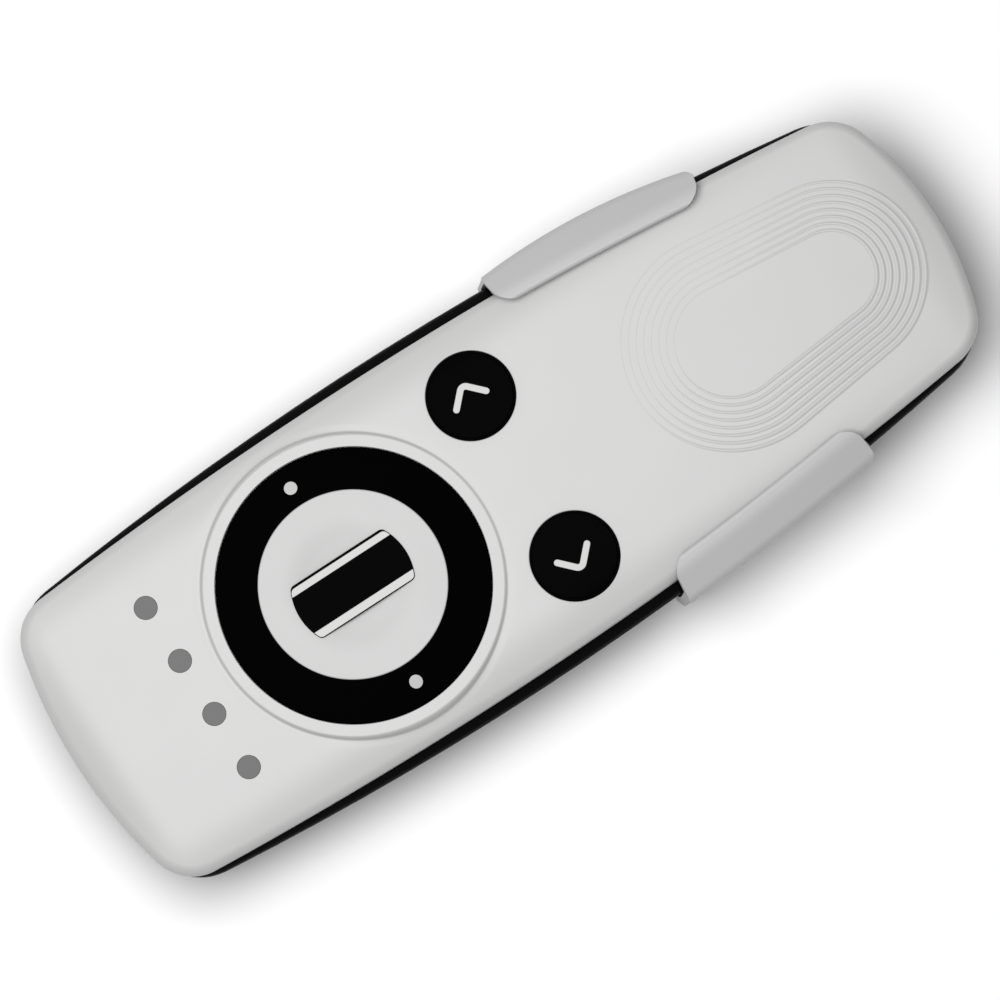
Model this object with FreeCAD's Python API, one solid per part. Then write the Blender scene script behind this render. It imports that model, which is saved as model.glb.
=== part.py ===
import FreeCAD, Part
import math
import os

V = FreeCAD.Vector

# A landscape handheld remote control with a rotary dial, two round buttons and
# four status lights, lying in a wall holder whose two hooked arms grip its
# narrower right half. All sizes are in millimetres. X runs along the remote
# from the lights to the narrow end, Y across it, and Z out of its front. The
# holder's back face lies on Z = 0, and X = 0 is the middle of the remote.

# Front shell
REMOTE_LENGTH = 150.0
SHELL_HALF_WIDTH = 25.66
SHELL_WIDEST_X = -16.0
SHELL_SIDE_RADIUS = 665.0
LEFT_END_RADIUS = 75.0
RIGHT_END_RADIUS = 48.4
SHELL_LEFT_CORNER = 7.3
SHELL_RIGHT_CORNER = 7.8
SHELL_WALL = 1.6
SHELL_HEIGHT = 5.2
SHELL_EDGE_BEVEL = 0.9
CROWN_X = -14.0
CROWN_CROSS_RADIUS = 400.0
CROWN_SHOULDER_Y = 17.5
CROWN_SHOULDER_RADIUS = 20.0
CROWN_SHOULDER_TURN = 26.0
CROWN_LENGTH_RADIUS = 2600.0
CROWN_LEFT_ROLL_LENGTH = 6.5
CROWN_LEFT_ROLL_RADIUS = 14.0
CROWN_RIGHT_ROLL_LENGTH = 8.0
CROWN_RIGHT_ROLL_RADIUS = 30.0
CROWN_ROLL_TURN = 42.0
CROWN_MIDDLE_FACETS = 2
CROWN_SHOULDER_FACETS = 3
TONGUE_GAP = 0.2
TONGUE_WALL = 0.8
TONGUE_DEPTH = 1.2
TONGUE_ROOT = 1.0
TONGUE_OVERLAP = 0.2

# Back housing
BASE_BULGE = 1.74
BASE_WIDEST_X = -12.1
BASE_SIDE_RADIUS = 497.0
BASE_LEFT_CORNER = 8.5
BASE_RIGHT_CORNER = 9.8
BASE_END_INSET = 0.4
BASE_TOP_INSET = 0.25
BASE_WALL = 1.6
BASE_DEPTH = 12.6
BASE_WIDEST_DEPTH = 1.5
BASE_PROFILE_RADIUS = 15.0
BASE_SIDE_FACETS = 4
BASE_TOP_SHARES = (0.6, 1.0)

# Dial. A share is a place along the remote, counted from its middle in remote lengths.
DIAL_SHARE = -0.1758
DIAL_RADIUS = 20.2
DIAL_CAP_RADIUS = 14.0
DIAL_RISE = 2.6
DIAL_RIM = 0.55
DIAL_WALL = 1.5
DIAL_SINK = 0.8
DIAL_GAP = 0.25
PLATEAU_RADIUS = 22.4
PLATEAU_RISE = 0.15
PLATEAU_FLANK_RUN = 1.9
PLATEAU_FLANK_DROP = 3.0
PLATEAU_EDGE_BEVEL = 0.3
CAP_THICKNESS = 1.9
WEB_THICKNESS = 1.1
DISH_RADIUS = 9.4
DISH_DEPTH = 1.2
CAP_EDGE_BEVEL = 0.15
BAR_WIDTH = 9.0
BAR_PROUD = 0.15
BAR_HEIGHT = 1.7
TRIM_WIDTH = 1.25
TRIM_EDGE = 0.2
TRIM_DEPTH = 0.5
INDEX_DOT_RADIUS = 1.0
INDEX_DOT_ORBIT = 16.96
INDEX_DOT_DEPTH = 0.8
HUB_RADIUS = 4.6
HUB_DROP = 0.4
HUB_CLEARANCE = 0.5
SHAFT_RADIUS = 3.0
SHAFT_FLAT = 1.5
SHAFT_DEPTH = 4.0
SHAFT_TOP_GAP = 0.2
RUNNING_GAP = 0.05
SEAT_GAP = 0.03

# Buttons
BUTTON_SHARE = 0.0213
BUTTON_Y = 14.07
BUTTON_RADIUS = 6.5
BUTTON_GAP = 0.2
BUTTON_PROUD = 0.7
BUTTON_TRAVEL = 0.45
BUTTON_EDGE_BEVEL = 0.3
BUTTON_FLANGE_WIDTH = 0.9
BUTTON_FLANGE_THICKNESS = 0.9
BUTTON_STEM_RADIUS = 2.4
CHEVRON_HALF_SPAN = 2.6
CHEVRON_APEX = 2.0
CHEVRON_FOOT = -0.7
CHEVRON_STROKE = 1.0
CHEVRON_DEPTH = 0.45
CHEVRON_PROUD = 0.04

# Status lights
LIGHT_INSET = 21.2
LIGHT_PITCH = 9.31
LIGHT_COUNT = 4
LIGHT_RADIUS = 1.72
LIGHT_PIPE_GAP = 0.04
LIGHT_WEB_THICKNESS = 1.2
LIGHT_WEB_DROP = 4.2
LIGHT_WEB_WIDTH = 4.6
LED_LENGTH = 2.0
LED_WIDTH = 1.3
LED_HEIGHT = 0.8
LED_AIR = 0.4

# Board and what it carries
BOARD_INSET = 8.0
BOARD_BAY_GAP = 2.65
BOARD_HALF_WIDTH = 20.5
BOARD_THICKNESS = 1.2
BOARD_HEIGHT = 5.6
BOARD_EDGE_GAP = 0.5
BOARD_POST_RADIUS = 2.0
BOARD_POST_SHARES = (-0.4, 0.02)
BOARD_POST_Y = 9.5
ENCODER_LENGTH = 12.4
ENCODER_WIDTH = 11.8
ENCODER_HEIGHT = 4.5
ENCODER_BEVEL = 0.5
ENCODER_BUSH_RADIUS = 4.0
ENCODER_BUSH_GAP = 0.5
SWITCH_WIDTH = 6.0
SWITCH_HEIGHT = 3.8
SWITCH_BEVEL = 0.4
SWITCH_PLUNGER_RADIUS = 1.7
SWITCH_PLUNGER_DEPTH = 1.6
SWITCH_PLUNGER_STAND = 0.95
SWITCH_WELL_SPARE = 0.1
SWITCH_PLUNGER_GAP = 0.08
RADIO_SHARE = -0.2867
RADIO_LENGTH = 11.0
RADIO_WIDTH = 17.0
RADIO_THICKNESS = 0.8
RADIO_CAN_HEIGHT = 1.6
RADIO_CAN_INSET = 1.2
RADIO_AERIAL_WIDTH = 4.2
CHIP_SHARE = -0.0767
CHIP_Y = 5.5
CHIP_SIZE = 7.0
CHIP_HEIGHT = 1.0
CRYSTAL_Y = -3.5
CRYSTAL_LENGTH = 5.0
CRYSTAL_WIDTH = 3.2
CRYSTAL_HEIGHT = 1.6
CAPACITOR_Y = -8.5
CAPACITOR_RADIUS = 1.6
CAPACITOR_HEIGHT = 4.0

# Batteries and their compartment
CELL_RADIUS = 5.25
CELL_LENGTH = 44.5
CELL_NIPPLE_RADIUS = 1.9
CELL_NIPPLE_LENGTH = 0.8
CELL_SPACING = 11.0
CELL_SHARE = 0.2467
CELL_GAP = 0.35
CELL_BEVEL = 0.5
SPRING_SPACE = 4.0
CONTACT_THICKNESS = 0.4
CONTACT_SIZE = 8.0
SPRING_RADIUS = 3.4
SPRING_TIP_RADIUS = 2.1
BAY_WALL = 1.1

# Battery door
DOOR_OVERLAP = 3.85
DOOR_HALF_WIDTH = 12.8
DOOR_THICKNESS = 1.4
DOOR_TONGUE = 1.3
DOOR_TONGUE_THICKNESS = 0.7
DOOR_GAP = 0.2
DOOR_ROOF = 1.2
DOOR_RIB_X = 5.0
DOOR_RIB_PITCH = 2.2
DOOR_RIB_COUNT = 4
DOOR_RIB_LENGTH = 12.0
DOOR_RIB_WIDTH = 0.9
DOOR_RIB_DEPTH = 0.35

# Screws that hold the back housing to the front shell
SCREW_LEFT_INSET = 11.5
SCREW_LEFT_Y = 16.5
SCREW_MIDDLE_SHARE = 0.0947
SCREW_MIDDLE_Y = 18.6
SCREW_RIGHT_INSET = 7.5
SCREW_RIGHT_Y = 6.5
SCREW_RADIUS = 1.1
SCREW_HEAD_RADIUS = 2.0
SCREW_HEAD_HEIGHT = 1.4
SCREW_BEVEL = 0.5
SCREW_LENGTH = 8.0
SCREW_SEAT_HEIGHT = 4.0
SCREW_FLOOR = 2.6
SCREW_BOSS_RADIUS = 2.9
SCREW_CLEARANCE = 0.15

# Wall holder
PLATE_THICKNESS = 2.4
PLATE_LEFT_X = -50.0
PLATE_RIGHT_X = 60.0
PLATE_HALF_WIDTH = 17.0
PLATE_EDGE_BEVEL = 0.7
HOLDER_GAP = 0.35
ARM_WALL = 2.3
ARM_BOW_RADIUS = 95.2
ARM_BOW_X = 21.9
ARM_BOW_REACH = 0.96
ARM_LEFT_X = 14.2
ARM_RIGHT_X = 48.3
ARM_LEAN = 3.0
ARM_LIP_WIDTH = 4.25
ARM_LIP_THICKNESS = 1.6
ARM_LIP_SLOPE = 1.3
ARM_LIP_GAP = 0.45
ARM_OUTER_ROUND = 2.4
ARM_ROOT_REACH = 12.0
ARM_CORNER_ROUND = 3.2
WALL_SCREW_RADIUS = 2.1
WALL_SCREW_HEAD_RADIUS = 3.7
WALL_SCREW_HEAD_DEPTH = 1.6
WALL_SCREW_X = (-20.0, 40.0)

# Places along the remote worked out from the sizes above
LEFT_X = -REMOTE_LENGTH / 2
RIGHT_X = REMOTE_LENGTH / 2
DIAL_X = DIAL_SHARE * REMOTE_LENGTH
BUTTON_X = BUTTON_SHARE * REMOTE_LENGTH
LIGHT_X = LEFT_X + LIGHT_INSET
RADIO_X = RADIO_SHARE * REMOTE_LENGTH
CHIP_X = CHIP_SHARE * REMOTE_LENGTH
CELL_X = CELL_SHARE * REMOTE_LENGTH
BAY_HALF_LENGTH = (CELL_LENGTH + SPRING_SPACE) / 2 + CONTACT_THICKNESS
BAY_HALF_WIDTH = CELL_SPACING / 2 + CELL_RADIUS + CELL_GAP
DOOR_LEFT_X = CELL_X - BAY_HALF_LENGTH - DOOR_OVERLAP
BOARD_LEFT_X = LEFT_X + BOARD_INSET
BOARD_RIGHT_X = CELL_X - BAY_HALF_LENGTH - BAY_WALL - BOARD_BAY_GAP
SCREW_PLACES = ((LEFT_X + SCREW_LEFT_INSET, SCREW_LEFT_Y),
                (SCREW_MIDDLE_SHARE * REMOTE_LENGTH, SCREW_MIDDLE_Y),
                (RIGHT_X - SCREW_RIGHT_INSET, SCREW_RIGHT_Y))

# Heights worked out from the sizes above
BACK_Z = PLATE_THICKNESS + HOLDER_GAP
PARTING_Z = BACK_Z + BASE_DEPTH
WIDEST_Z = PARTING_Z - BASE_WIDEST_DEPTH
CROWN_Z = PARTING_Z + SHELL_HEIGHT
PLATEAU_Z = CROWN_Z + PLATEAU_RISE
SKIRT_Z = PLATEAU_Z - DIAL_SINK
WELL_FLOOR_Z = SKIRT_Z - DIAL_GAP
WELL_UNDERSIDE_Z = WELL_FLOOR_Z - SHELL_WALL
DIAL_TOP_Z = SKIRT_Z + DIAL_RIM + DIAL_RISE
CAP_Z = DIAL_TOP_Z - CAP_THICKNESS
BAR_Z = DIAL_TOP_Z + BAR_PROUD - BAR_HEIGHT
FLOOR_Z = BACK_Z + BASE_WALL
BOARD_Z = BACK_Z + BOARD_HEIGHT
BOARD_TOP_Z = BOARD_Z + BOARD_THICKNESS
SWITCH_TOP_Z = BOARD_TOP_Z + SWITCH_HEIGHT
ENCODER_TOP_Z = BOARD_TOP_Z + ENCODER_HEIGHT
HUB_Z = WELL_UNDERSIDE_Z - HUB_DROP
DOOR_TOP_Z = BACK_Z + DOOR_THICKNESS
CELL_Z = DOOR_TOP_Z + CELL_GAP + CELL_RADIUS
BAY_TOP_Z = CELL_Z + CELL_RADIUS + CELL_GAP
SCREW_SEAT_Z = BACK_Z + SCREW_SEAT_HEIGHT
SCREW_SPLIT_Z = SCREW_SEAT_Z + SCREW_FLOOR
TONGUE_INSET = max(BASE_TOP_INSET, BASE_END_INSET) + BASE_WALL + TONGUE_GAP
FAR = 200.0
MARGIN = 1.0
TOUCH = 0.01


class Outline:
    """A plan shape of two side arcs, two end arcs and four rounded corners."""

    def __init__(self, half_width, widest_x, side_r, end_inset, left_corner, right_corner):
        self.half_width = half_width
        self.widest_x = widest_x
        self.side_r = side_r
        self.end_inset = end_inset
        self.left_corner = left_corner
        self.right_corner = right_corner

    def blend(self, other, share):
        """The outline part of the way from this one to the other."""

        def mix(a, b):
            return a + (b - a) * share

        return Outline(
            mix(self.half_width, other.half_width),
            mix(self.widest_x, other.widest_x),
            1 / mix(1 / self.side_r, 1 / other.side_r),
            mix(self.end_inset, other.end_inset),
            mix(self.left_corner, other.left_corner),
            mix(self.right_corner, other.right_corner),
        )

    def corner(self, inset, side):
        """Centre, radius and the two tangent points of a corner, in the upper half."""
        end_r = (LEFT_END_RADIUS if side < 0 else RIGHT_END_RADIUS) - inset - self.end_inset
        end_x = side * (REMOTE_LENGTH / 2 - self.end_inset - inset - end_r)
        nominal = self.left_corner if side < 0 else self.right_corner
        r = max(nominal - inset, nominal / 4)
        side_r = self.side_r - inset
        side_c = V(self.widest_x, self.half_width - self.side_r, 0)
        end_c = V(end_x, 0, 0)
        a, b = side_r - r, end_r - r
        reach = end_c - side_c
        along = (a * a - b * b + reach.Length**2) / (2 * reach.Length)
        across = math.sqrt(a * a - along * along)
        axis = V(reach).normalize()
        normal = V(-axis.y, axis.x, 0) * (-side)
        c = side_c + axis * along + normal * across
        on_side = c + (c - side_c).normalize() * r
        on_end = c + (c - end_c).normalize() * r
        middle = c + ((on_side - c) + (on_end - c)).normalize() * r
        return on_side, middle, on_end

    def wire(self, inset, z):
        """The closed wire at a height, drawn in by an inset."""
        ls, lm, le = self.corner(inset, -1)
        rs, rm, re = self.corner(inset, 1)
        top = V(self.widest_x, self.half_width - inset, 0)
        left = V(-REMOTE_LENGTH / 2 + self.end_inset + inset, 0, 0)
        right = V(REMOTE_LENGTH / 2 - self.end_inset - inset, 0, 0)
        arcs = [(ls, top, rs), (rs, rm, re), (re, right, flip(re))]
        arcs += [(flip(re), flip(rm), flip(rs)), (flip(rs), flip(top), flip(ls))]
        arcs += [(flip(ls), flip(lm), flip(le)), (flip(le), left, le), (le, lm, ls)]
        lift = V(0, 0, z)
        edges = [Part.Arc(a + lift, b + lift, c + lift).toShape() for a, b, c in arcs]
        return Part.Wire(edges)

    def prism(self, inset, low, high):
        return Part.Face(self.wire(inset, low)).extrude(V(0, 0, high - low))


def flip(p):
    """The same point on the other side of the X axis."""
    return V(p.x, -p.y, p.z)


SHELL = Outline(SHELL_HALF_WIDTH, SHELL_WIDEST_X, SHELL_SIDE_RADIUS, 0.0,
                SHELL_LEFT_CORNER, SHELL_RIGHT_CORNER)
BASE = Outline(SHELL_HALF_WIDTH + BASE_BULGE, BASE_WIDEST_X, BASE_SIDE_RADIUS, BASE_END_INSET,
               BASE_LEFT_CORNER, BASE_RIGHT_CORNER)


def box(x0, x1, y0, y1, z0, z1):
    return Part.makeBox(x1 - x0, y1 - y0, z1 - z0, V(x0, y0, z0))


def post(x, y, r, z0, z1):
    return Part.makeCylinder(r, z1 - z0, V(x, y, z0))


def cone(x, y, r0, r1, z0, z1):
    return Part.makeCone(r0, r1, z1 - z0, V(x, y, z0))


def stadium(half_length, radius, x, y, z0, z1):
    """A slot-shaped post along X, its straight part 2 * half_length long."""
    a, b = V(x - half_length, y + radius, z0), V(x + half_length, y + radius, z0)
    c, d = V(x + half_length, y - radius, z0), V(x - half_length, y - radius, z0)
    right = Part.Arc(b, V(x + half_length + radius, y, z0), c).toShape()
    left = Part.Arc(d, V(x - half_length - radius, y, z0), a).toShape()
    wire = Part.Wire([Part.makeLine(a, b), right, Part.makeLine(c, d), left])
    return Part.Face(wire).extrude(V(0, 0, z1 - z0))


def turned(points, x, y):
    """A solid of revolution about a vertical axis from a profile of (radius, z)."""
    wire = Part.makePolygon([V(x + r, y, z) for r, z in points] + [V(x + points[0][0], y, points[0][1])])
    return Part.Face(wire).revolve(V(x, y, 0), V(0, 0, 1), 360)


def save(name, shape):
    """Write one sub-part, after checking that it is whole."""
    solids = shape.removeSplitter().Solids
    out = solids[0] if len(solids) == 1 else Part.makeCompound(solids)
    if not solids or not out.isValid():
        raise ValueError("bad shape for " + name)
    out.exportStep("parts/%s.step" % name)
    print("%-20s %2d solids %4d faces %10.2f mm3" % (name, len(solids), len(out.Faces), out.Volume))
    return out


def crown_point(drop, angle):
    """A point across the crown where it leans outwards by an angle, lowered evenly by a drop."""
    turn = math.asin(CROWN_SHOULDER_Y / CROWN_CROSS_RADIUS)
    mid_r = CROWN_CROSS_RADIUS - drop
    side_r = CROWN_SHOULDER_RADIUS - drop
    bend = min(angle, turn)
    y = mid_r * math.sin(bend) + side_r * (math.sin(angle) - math.sin(bend))
    z = CROWN_Z - drop - mid_r * (1 - math.cos(bend)) - side_r * (math.cos(bend) - math.cos(angle))
    return V(CROWN_X, y, z)


def crown_profile(drop, faceted):
    """The cross-section below the crown as a face at CROWN_X, in true arcs or in short flats."""
    turn = math.asin(CROWN_SHOULDER_Y / CROWN_CROSS_RADIUS)
    lean = math.radians(CROWN_SHOULDER_TURN)
    end = crown_point(drop, turn + lean)
    foot = V(CROWN_X, end.y, PARTING_Z - 2 * SHELL_HEIGHT / 3)
    if faceted:
        angles = [turn * i / CROWN_MIDDLE_FACETS for i in range(CROWN_MIDDLE_FACETS)]
        angles += [turn + lean * i / CROWN_SHOULDER_FACETS for i in range(CROWN_SHOULDER_FACETS + 1)]
        half = [crown_point(drop, angle) for angle in angles]
        points = [foot] + half[::-1] + [flip(p) for p in half[1:]] + [flip(foot), foot]
        return Part.Face(Part.makePolygon(points))
    start, middle, top = (crown_point(drop, angle) for angle in (turn, turn + lean / 2, 0))
    arcs = [(flip(end), flip(middle), flip(start)), (flip(start), top, start), (start, middle, end)]
    edges = [Part.Arc(a, b, c).toShape() for a, b, c in arcs]
    corners = [end, foot, flip(foot), flip(end)]
    edges += [Part.makeLine(a, b) for a, b in zip(corners, corners[1:])]
    return Part.Face(Part.Wire(edges))


def crown_solid(drop, faceted=False):
    """What lies below the crown: a long gentle arc that rolls over near both ends."""
    face = crown_profile(drop, faceted)
    centre = V(CROWN_X, 0, CROWN_Z - CROWN_LENGTH_RADIUS)
    left_x = -REMOTE_LENGTH / 2 + CROWN_LEFT_ROLL_LENGTH
    right_x = REMOTE_LENGTH / 2 - CROWN_RIGHT_ROLL_LENGTH
    left = math.degrees(math.asin((CROWN_X - left_x) / CROWN_LENGTH_RADIUS))
    right = math.degrees(math.asin((right_x - CROWN_X) / CROWN_LENGTH_RADIUS))
    start = face.copy()
    start.rotate(centre, V(0, 1, 0), -left)
    body = start.revolve(centre, V(0, 1, 0), left + right)
    for sign, turn, radius in ((-1, left, CROWN_LEFT_ROLL_RADIUS), (1, right, CROWN_RIGHT_ROLL_RADIUS)):
        rolled = face.copy()
        rolled.rotate(centre, V(0, 1, 0), sign * turn)
        reach = CROWN_LENGTH_RADIUS - radius
        angle = math.radians(sign * turn)
        pivot = centre + V(math.sin(angle), 0, math.cos(angle)) * reach
        body = body.fuse(rolled.revolve(pivot, V(0, 1, 0), sign * CROWN_ROLL_TURN))
    return body.removeSplitter()


def crown_height(x, y):
    """Height of the crown over a point away from the rolled ends."""
    turn = math.asin(CROWN_SHOULDER_Y / CROWN_CROSS_RADIUS)
    if abs(y) <= CROWN_SHOULDER_Y:
        across = CROWN_CROSS_RADIUS - math.sqrt(CROWN_CROSS_RADIUS**2 - y * y)
    else:
        sine = math.sin(turn) + (abs(y) - CROWN_SHOULDER_Y) / CROWN_SHOULDER_RADIUS
        across = CROWN_CROSS_RADIUS * (1 - math.cos(turn))
        across += CROWN_SHOULDER_RADIUS * (math.cos(turn) - math.sqrt(1 - sine * sine))
    along = CROWN_LENGTH_RADIUS - math.sqrt(CROWN_LENGTH_RADIUS**2 - (x - CROWN_X) ** 2)
    return CROWN_Z - across - along


def on_wire(edge, wire):
    """Is the middle of an edge over this plan outline?"""
    mid = edge.valueAt((edge.FirstParameter + edge.LastParameter) / 2)
    spot = Part.Vertex(mid.x, mid.y, wire.BoundBox.ZMin)
    return spot.distToShape(wire)[0] < TOUCH


def base_solid(inset, low, high):
    """The back housing's outer form in short flats, drawn in by an inset, between two heights."""
    wires = []
    tall = WIDEST_Z - BACK_Z
    for i in range(BASE_SIDE_FACETS + 1):
        height = tall * i / BASE_SIDE_FACETS
        tuck = BASE_PROFILE_RADIUS - math.sqrt(BASE_PROFILE_RADIUS**2 - (tall - height) ** 2)
        wires.append(BASE.wire(tuck + inset, BACK_Z + height))
    top = Outline(SHELL_HALF_WIDTH - BASE_TOP_INSET, SHELL_WIDEST_X, SHELL_SIDE_RADIUS, BASE_END_INSET,
                  SHELL_LEFT_CORNER, SHELL_RIGHT_CORNER)
    for share in BASE_TOP_SHARES:
        bend = 1 - math.sqrt(1 - share**2)
        wires.append(BASE.blend(top, bend).wire(inset, WIDEST_Z + BASE_WIDEST_DEPTH * share))
    return Part.makeLoft(wires, True, True).common(box(-FAR, FAR, -FAR, FAR, low, high))


def light_places():
    first = -(LIGHT_COUNT - 1) / 2
    return [(LIGHT_X, (first + i) * LIGHT_PITCH) for i in range(LIGHT_COUNT)]


def screw_places():
    return [(x, s * y) for x, y in SCREW_PLACES for s in (-1, 1)]


def front_shell():
    """The crowned front shell: dial plateau and well, openings, tongue and screw posts."""
    outer = SHELL.prism(0, PARTING_Z, PARTING_Z + 3 * SHELL_HEIGHT).common(crown_solid(0))
    rim = SHELL.wire(0, PARTING_Z)
    top = [e for e in outer.Edges if e.BoundBox.ZMin > PARTING_Z + MARGIN and on_wire(e, rim)
           and math.hypot(e.BoundBox.XLength, e.BoundBox.YLength) > SHELL_EDGE_BEVEL / 2]
    body = outer.makeChamfer(SHELL_EDGE_BEVEL, top).fuse(plateau())
    inner = SHELL.prism(SHELL_WALL, PARTING_Z - MARGIN, PARTING_Z + 3 * SHELL_HEIGHT)
    body = body.cut(inner.common(crown_solid(SHELL_WALL, True)))
    well_r = DIAL_RADIUS + DIAL_GAP
    high = PLATEAU_Z + MARGIN
    half_wall = SHELL_WALL / 2
    room = SHELL.prism(half_wall, PARTING_Z, PLATEAU_Z).common(crown_solid(half_wall, True))
    floor = post(DIAL_X, 0, well_r + SHELL_WALL, WELL_UNDERSIDE_Z, WELL_FLOOR_Z)
    body = body.fuse(floor.common(room))
    body = body.cut(post(DIAL_X, 0, well_r, WELL_FLOOR_Z, high))
    body = body.cut(post(DIAL_X, 0, HUB_RADIUS + HUB_CLEARANCE, PARTING_Z, PLATEAU_Z))
    for side in (-1, 1):
        body = body.cut(post(BUTTON_X, side * BUTTON_Y, BUTTON_RADIUS + BUTTON_GAP, PARTING_Z, high))
    for x, y in light_places():
        body = body.cut(post(x, y, LIGHT_RADIUS + LIGHT_PIPE_GAP, PARTING_Z, high))
    tongue = SHELL.prism(SHELL_WALL - TONGUE_OVERLAP, PARTING_Z, PARTING_Z + TONGUE_ROOT)
    tongue = tongue.fuse(SHELL.prism(TONGUE_INSET, PARTING_Z - TONGUE_DEPTH, PARTING_Z + TONGUE_ROOT))
    low, high = PARTING_Z - 2 * TONGUE_DEPTH, PARTING_Z + 2 * TONGUE_ROOT
    body = body.fuse(tongue.cut(SHELL.prism(TONGUE_INSET + TONGUE_WALL, low, high)))
    under = crown_under(half_wall)
    for x, y in screw_places():
        boss = post(x, y, SCREW_BOSS_RADIUS, SCREW_SPLIT_Z, CROWN_Z).common(under)
        bore_top = SCREW_SEAT_Z + SCREW_LENGTH + MARGIN
        body = body.fuse(boss).cut(post(x, y, SCREW_RADIUS + SEAT_GAP, SCREW_SPLIT_Z - MARGIN, bore_top))
    return body


def crown_under(drop):
    """The crown solid in short flats, carried down to the level of the screw posts."""
    return crown_solid(drop, True).fuse(box(-FAR, FAR, -FAR, FAR, 0, PARTING_Z))


def plateau():
    """The flat round seat of the dial, whose steep flank runs into the crown."""
    low = PLATEAU_Z - PLATEAU_FLANK_DROP
    return turned([(0, low), (PLATEAU_RADIUS + PLATEAU_FLANK_RUN, low),
                   (PLATEAU_RADIUS + PLATEAU_EDGE_BEVEL / 2, PLATEAU_Z - PLATEAU_EDGE_BEVEL),
                   (PLATEAU_RADIUS - PLATEAU_EDGE_BEVEL, PLATEAU_Z), (0, PLATEAU_Z)], DIAL_X, 0)


def back_housing():
    """The black tub: bulged sides, battery bay, door track, board posts and screw posts."""
    body = base_solid(0, BACK_Z, PARTING_Z).cut(base_solid(BASE_WALL, FLOOR_Z, PARTING_Z))
    inside = base_solid(BASE_WALL / 2, BACK_Z, PARTING_Z)
    bay_x, bay_y = BAY_HALF_LENGTH + BAY_WALL, BAY_HALF_WIDTH + BAY_WALL
    body = body.fuse(box(CELL_X - bay_x, CELL_X + bay_x, -bay_y, bay_y, BACK_Z, BAY_TOP_Z + BAY_WALL))
    track_y = DOOR_HALF_WIDTH + DOOR_TONGUE + DOOR_GAP
    track_top = DOOR_TOP_Z + DOOR_GAP
    rooted_z = BACK_Z + BASE_WALL / 2
    roof = box(DOOR_LEFT_X - DOOR_GAP - BAY_WALL, FAR, -track_y - BAY_WALL, track_y + BAY_WALL,
               rooted_z, track_top + DOOR_ROOF)
    body = body.fuse(roof.common(inside))
    for x, y in screw_places():
        body = body.fuse(post(x, y, SCREW_BOSS_RADIUS, rooted_z, SCREW_SPLIT_Z).common(inside))
    for share in BOARD_POST_SHARES:
        for y in (-BOARD_POST_Y, BOARD_POST_Y):
            body = body.fuse(post(share * REMOTE_LENGTH, y, BOARD_POST_RADIUS, rooted_z, BOARD_Z))
    body = body.cut(door_form(DOOR_GAP))
    body = body.cut(box(CELL_X - BAY_HALF_LENGTH, CELL_X + BAY_HALF_LENGTH,
                        -BAY_HALF_WIDTH, BAY_HALF_WIDTH, BACK_Z, BAY_TOP_Z))
    for x, y in screw_places():
        body = body.cut(post(x, y, SCREW_HEAD_RADIUS + SCREW_CLEARANCE, BACK_Z - MARGIN, SCREW_SEAT_Z))
        body = body.cut(post(x, y, SCREW_RADIUS + SCREW_CLEARANCE, BACK_Z, SCREW_SPLIT_Z + MARGIN))
    return body


def door_form(gap):
    """The door's blank, or with a gap the track cut for it: a plate with a tongue along each side."""
    left = DOOR_LEFT_X - gap
    low_y = DOOR_HALF_WIDTH + gap
    high_y = low_y + DOOR_TONGUE
    step = DOOR_TOP_Z - DOOR_TONGUE_THICKNESS - gap
    plate = box(left, FAR, -low_y, low_y, BACK_Z - MARGIN, DOOR_TOP_Z + gap)
    return plate.fuse(box(left, FAR, -high_y, high_y, step, DOOR_TOP_Z + gap))


def battery_door():
    """The sliding door, whose end follows the end of the housing, with finger grooves."""
    body = door_form(0).common(base_solid(0, BACK_Z, DOOR_TOP_Z))
    for i in range(DOOR_RIB_COUNT):
        x = DOOR_LEFT_X + DOOR_RIB_X + i * DOOR_RIB_PITCH
        groove = box(x, x + DOOR_RIB_WIDTH, -DOOR_RIB_LENGTH / 2, DOOR_RIB_LENGTH / 2,
                     BACK_Z - MARGIN, BACK_Z + DOOR_RIB_DEPTH)
        body = body.cut(groove)
    return body


def main_board():
    """The circuit board, cut to the housing's plan and round the screw posts."""
    body = base_solid(BASE_WALL + BOARD_EDGE_GAP, BOARD_Z, BOARD_TOP_Z)
    body = body.common(box(BOARD_LEFT_X, BOARD_RIGHT_X, -BOARD_HALF_WIDTH, BOARD_HALF_WIDTH,
                           BOARD_Z, BOARD_TOP_Z))
    for x, y in screw_places():
        body = body.cut(post(x, y, SCREW_BOSS_RADIUS + BOARD_EDGE_GAP, BOARD_Z, BOARD_TOP_Z))
    return body


def rotary_encoder():
    """The encoder's case and bush, with the bore that its shaft turns in."""
    half_x, half_y = ENCODER_LENGTH / 2, ENCODER_WIDTH / 2
    case = box(DIAL_X - half_x, DIAL_X + half_x, -half_y, half_y, BOARD_TOP_Z, ENCODER_TOP_Z)
    case = case.makeChamfer(ENCODER_BEVEL, edges_above(case, ENCODER_TOP_Z))
    bush = post(DIAL_X, 0, ENCODER_BUSH_RADIUS, ENCODER_TOP_Z, HUB_Z - ENCODER_BUSH_GAP)
    bore = post(DIAL_X, 0, SHAFT_RADIUS + RUNNING_GAP, ENCODER_TOP_Z - SHAFT_DEPTH, HUB_Z)
    return case.fuse(bush).cut(bore)


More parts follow.
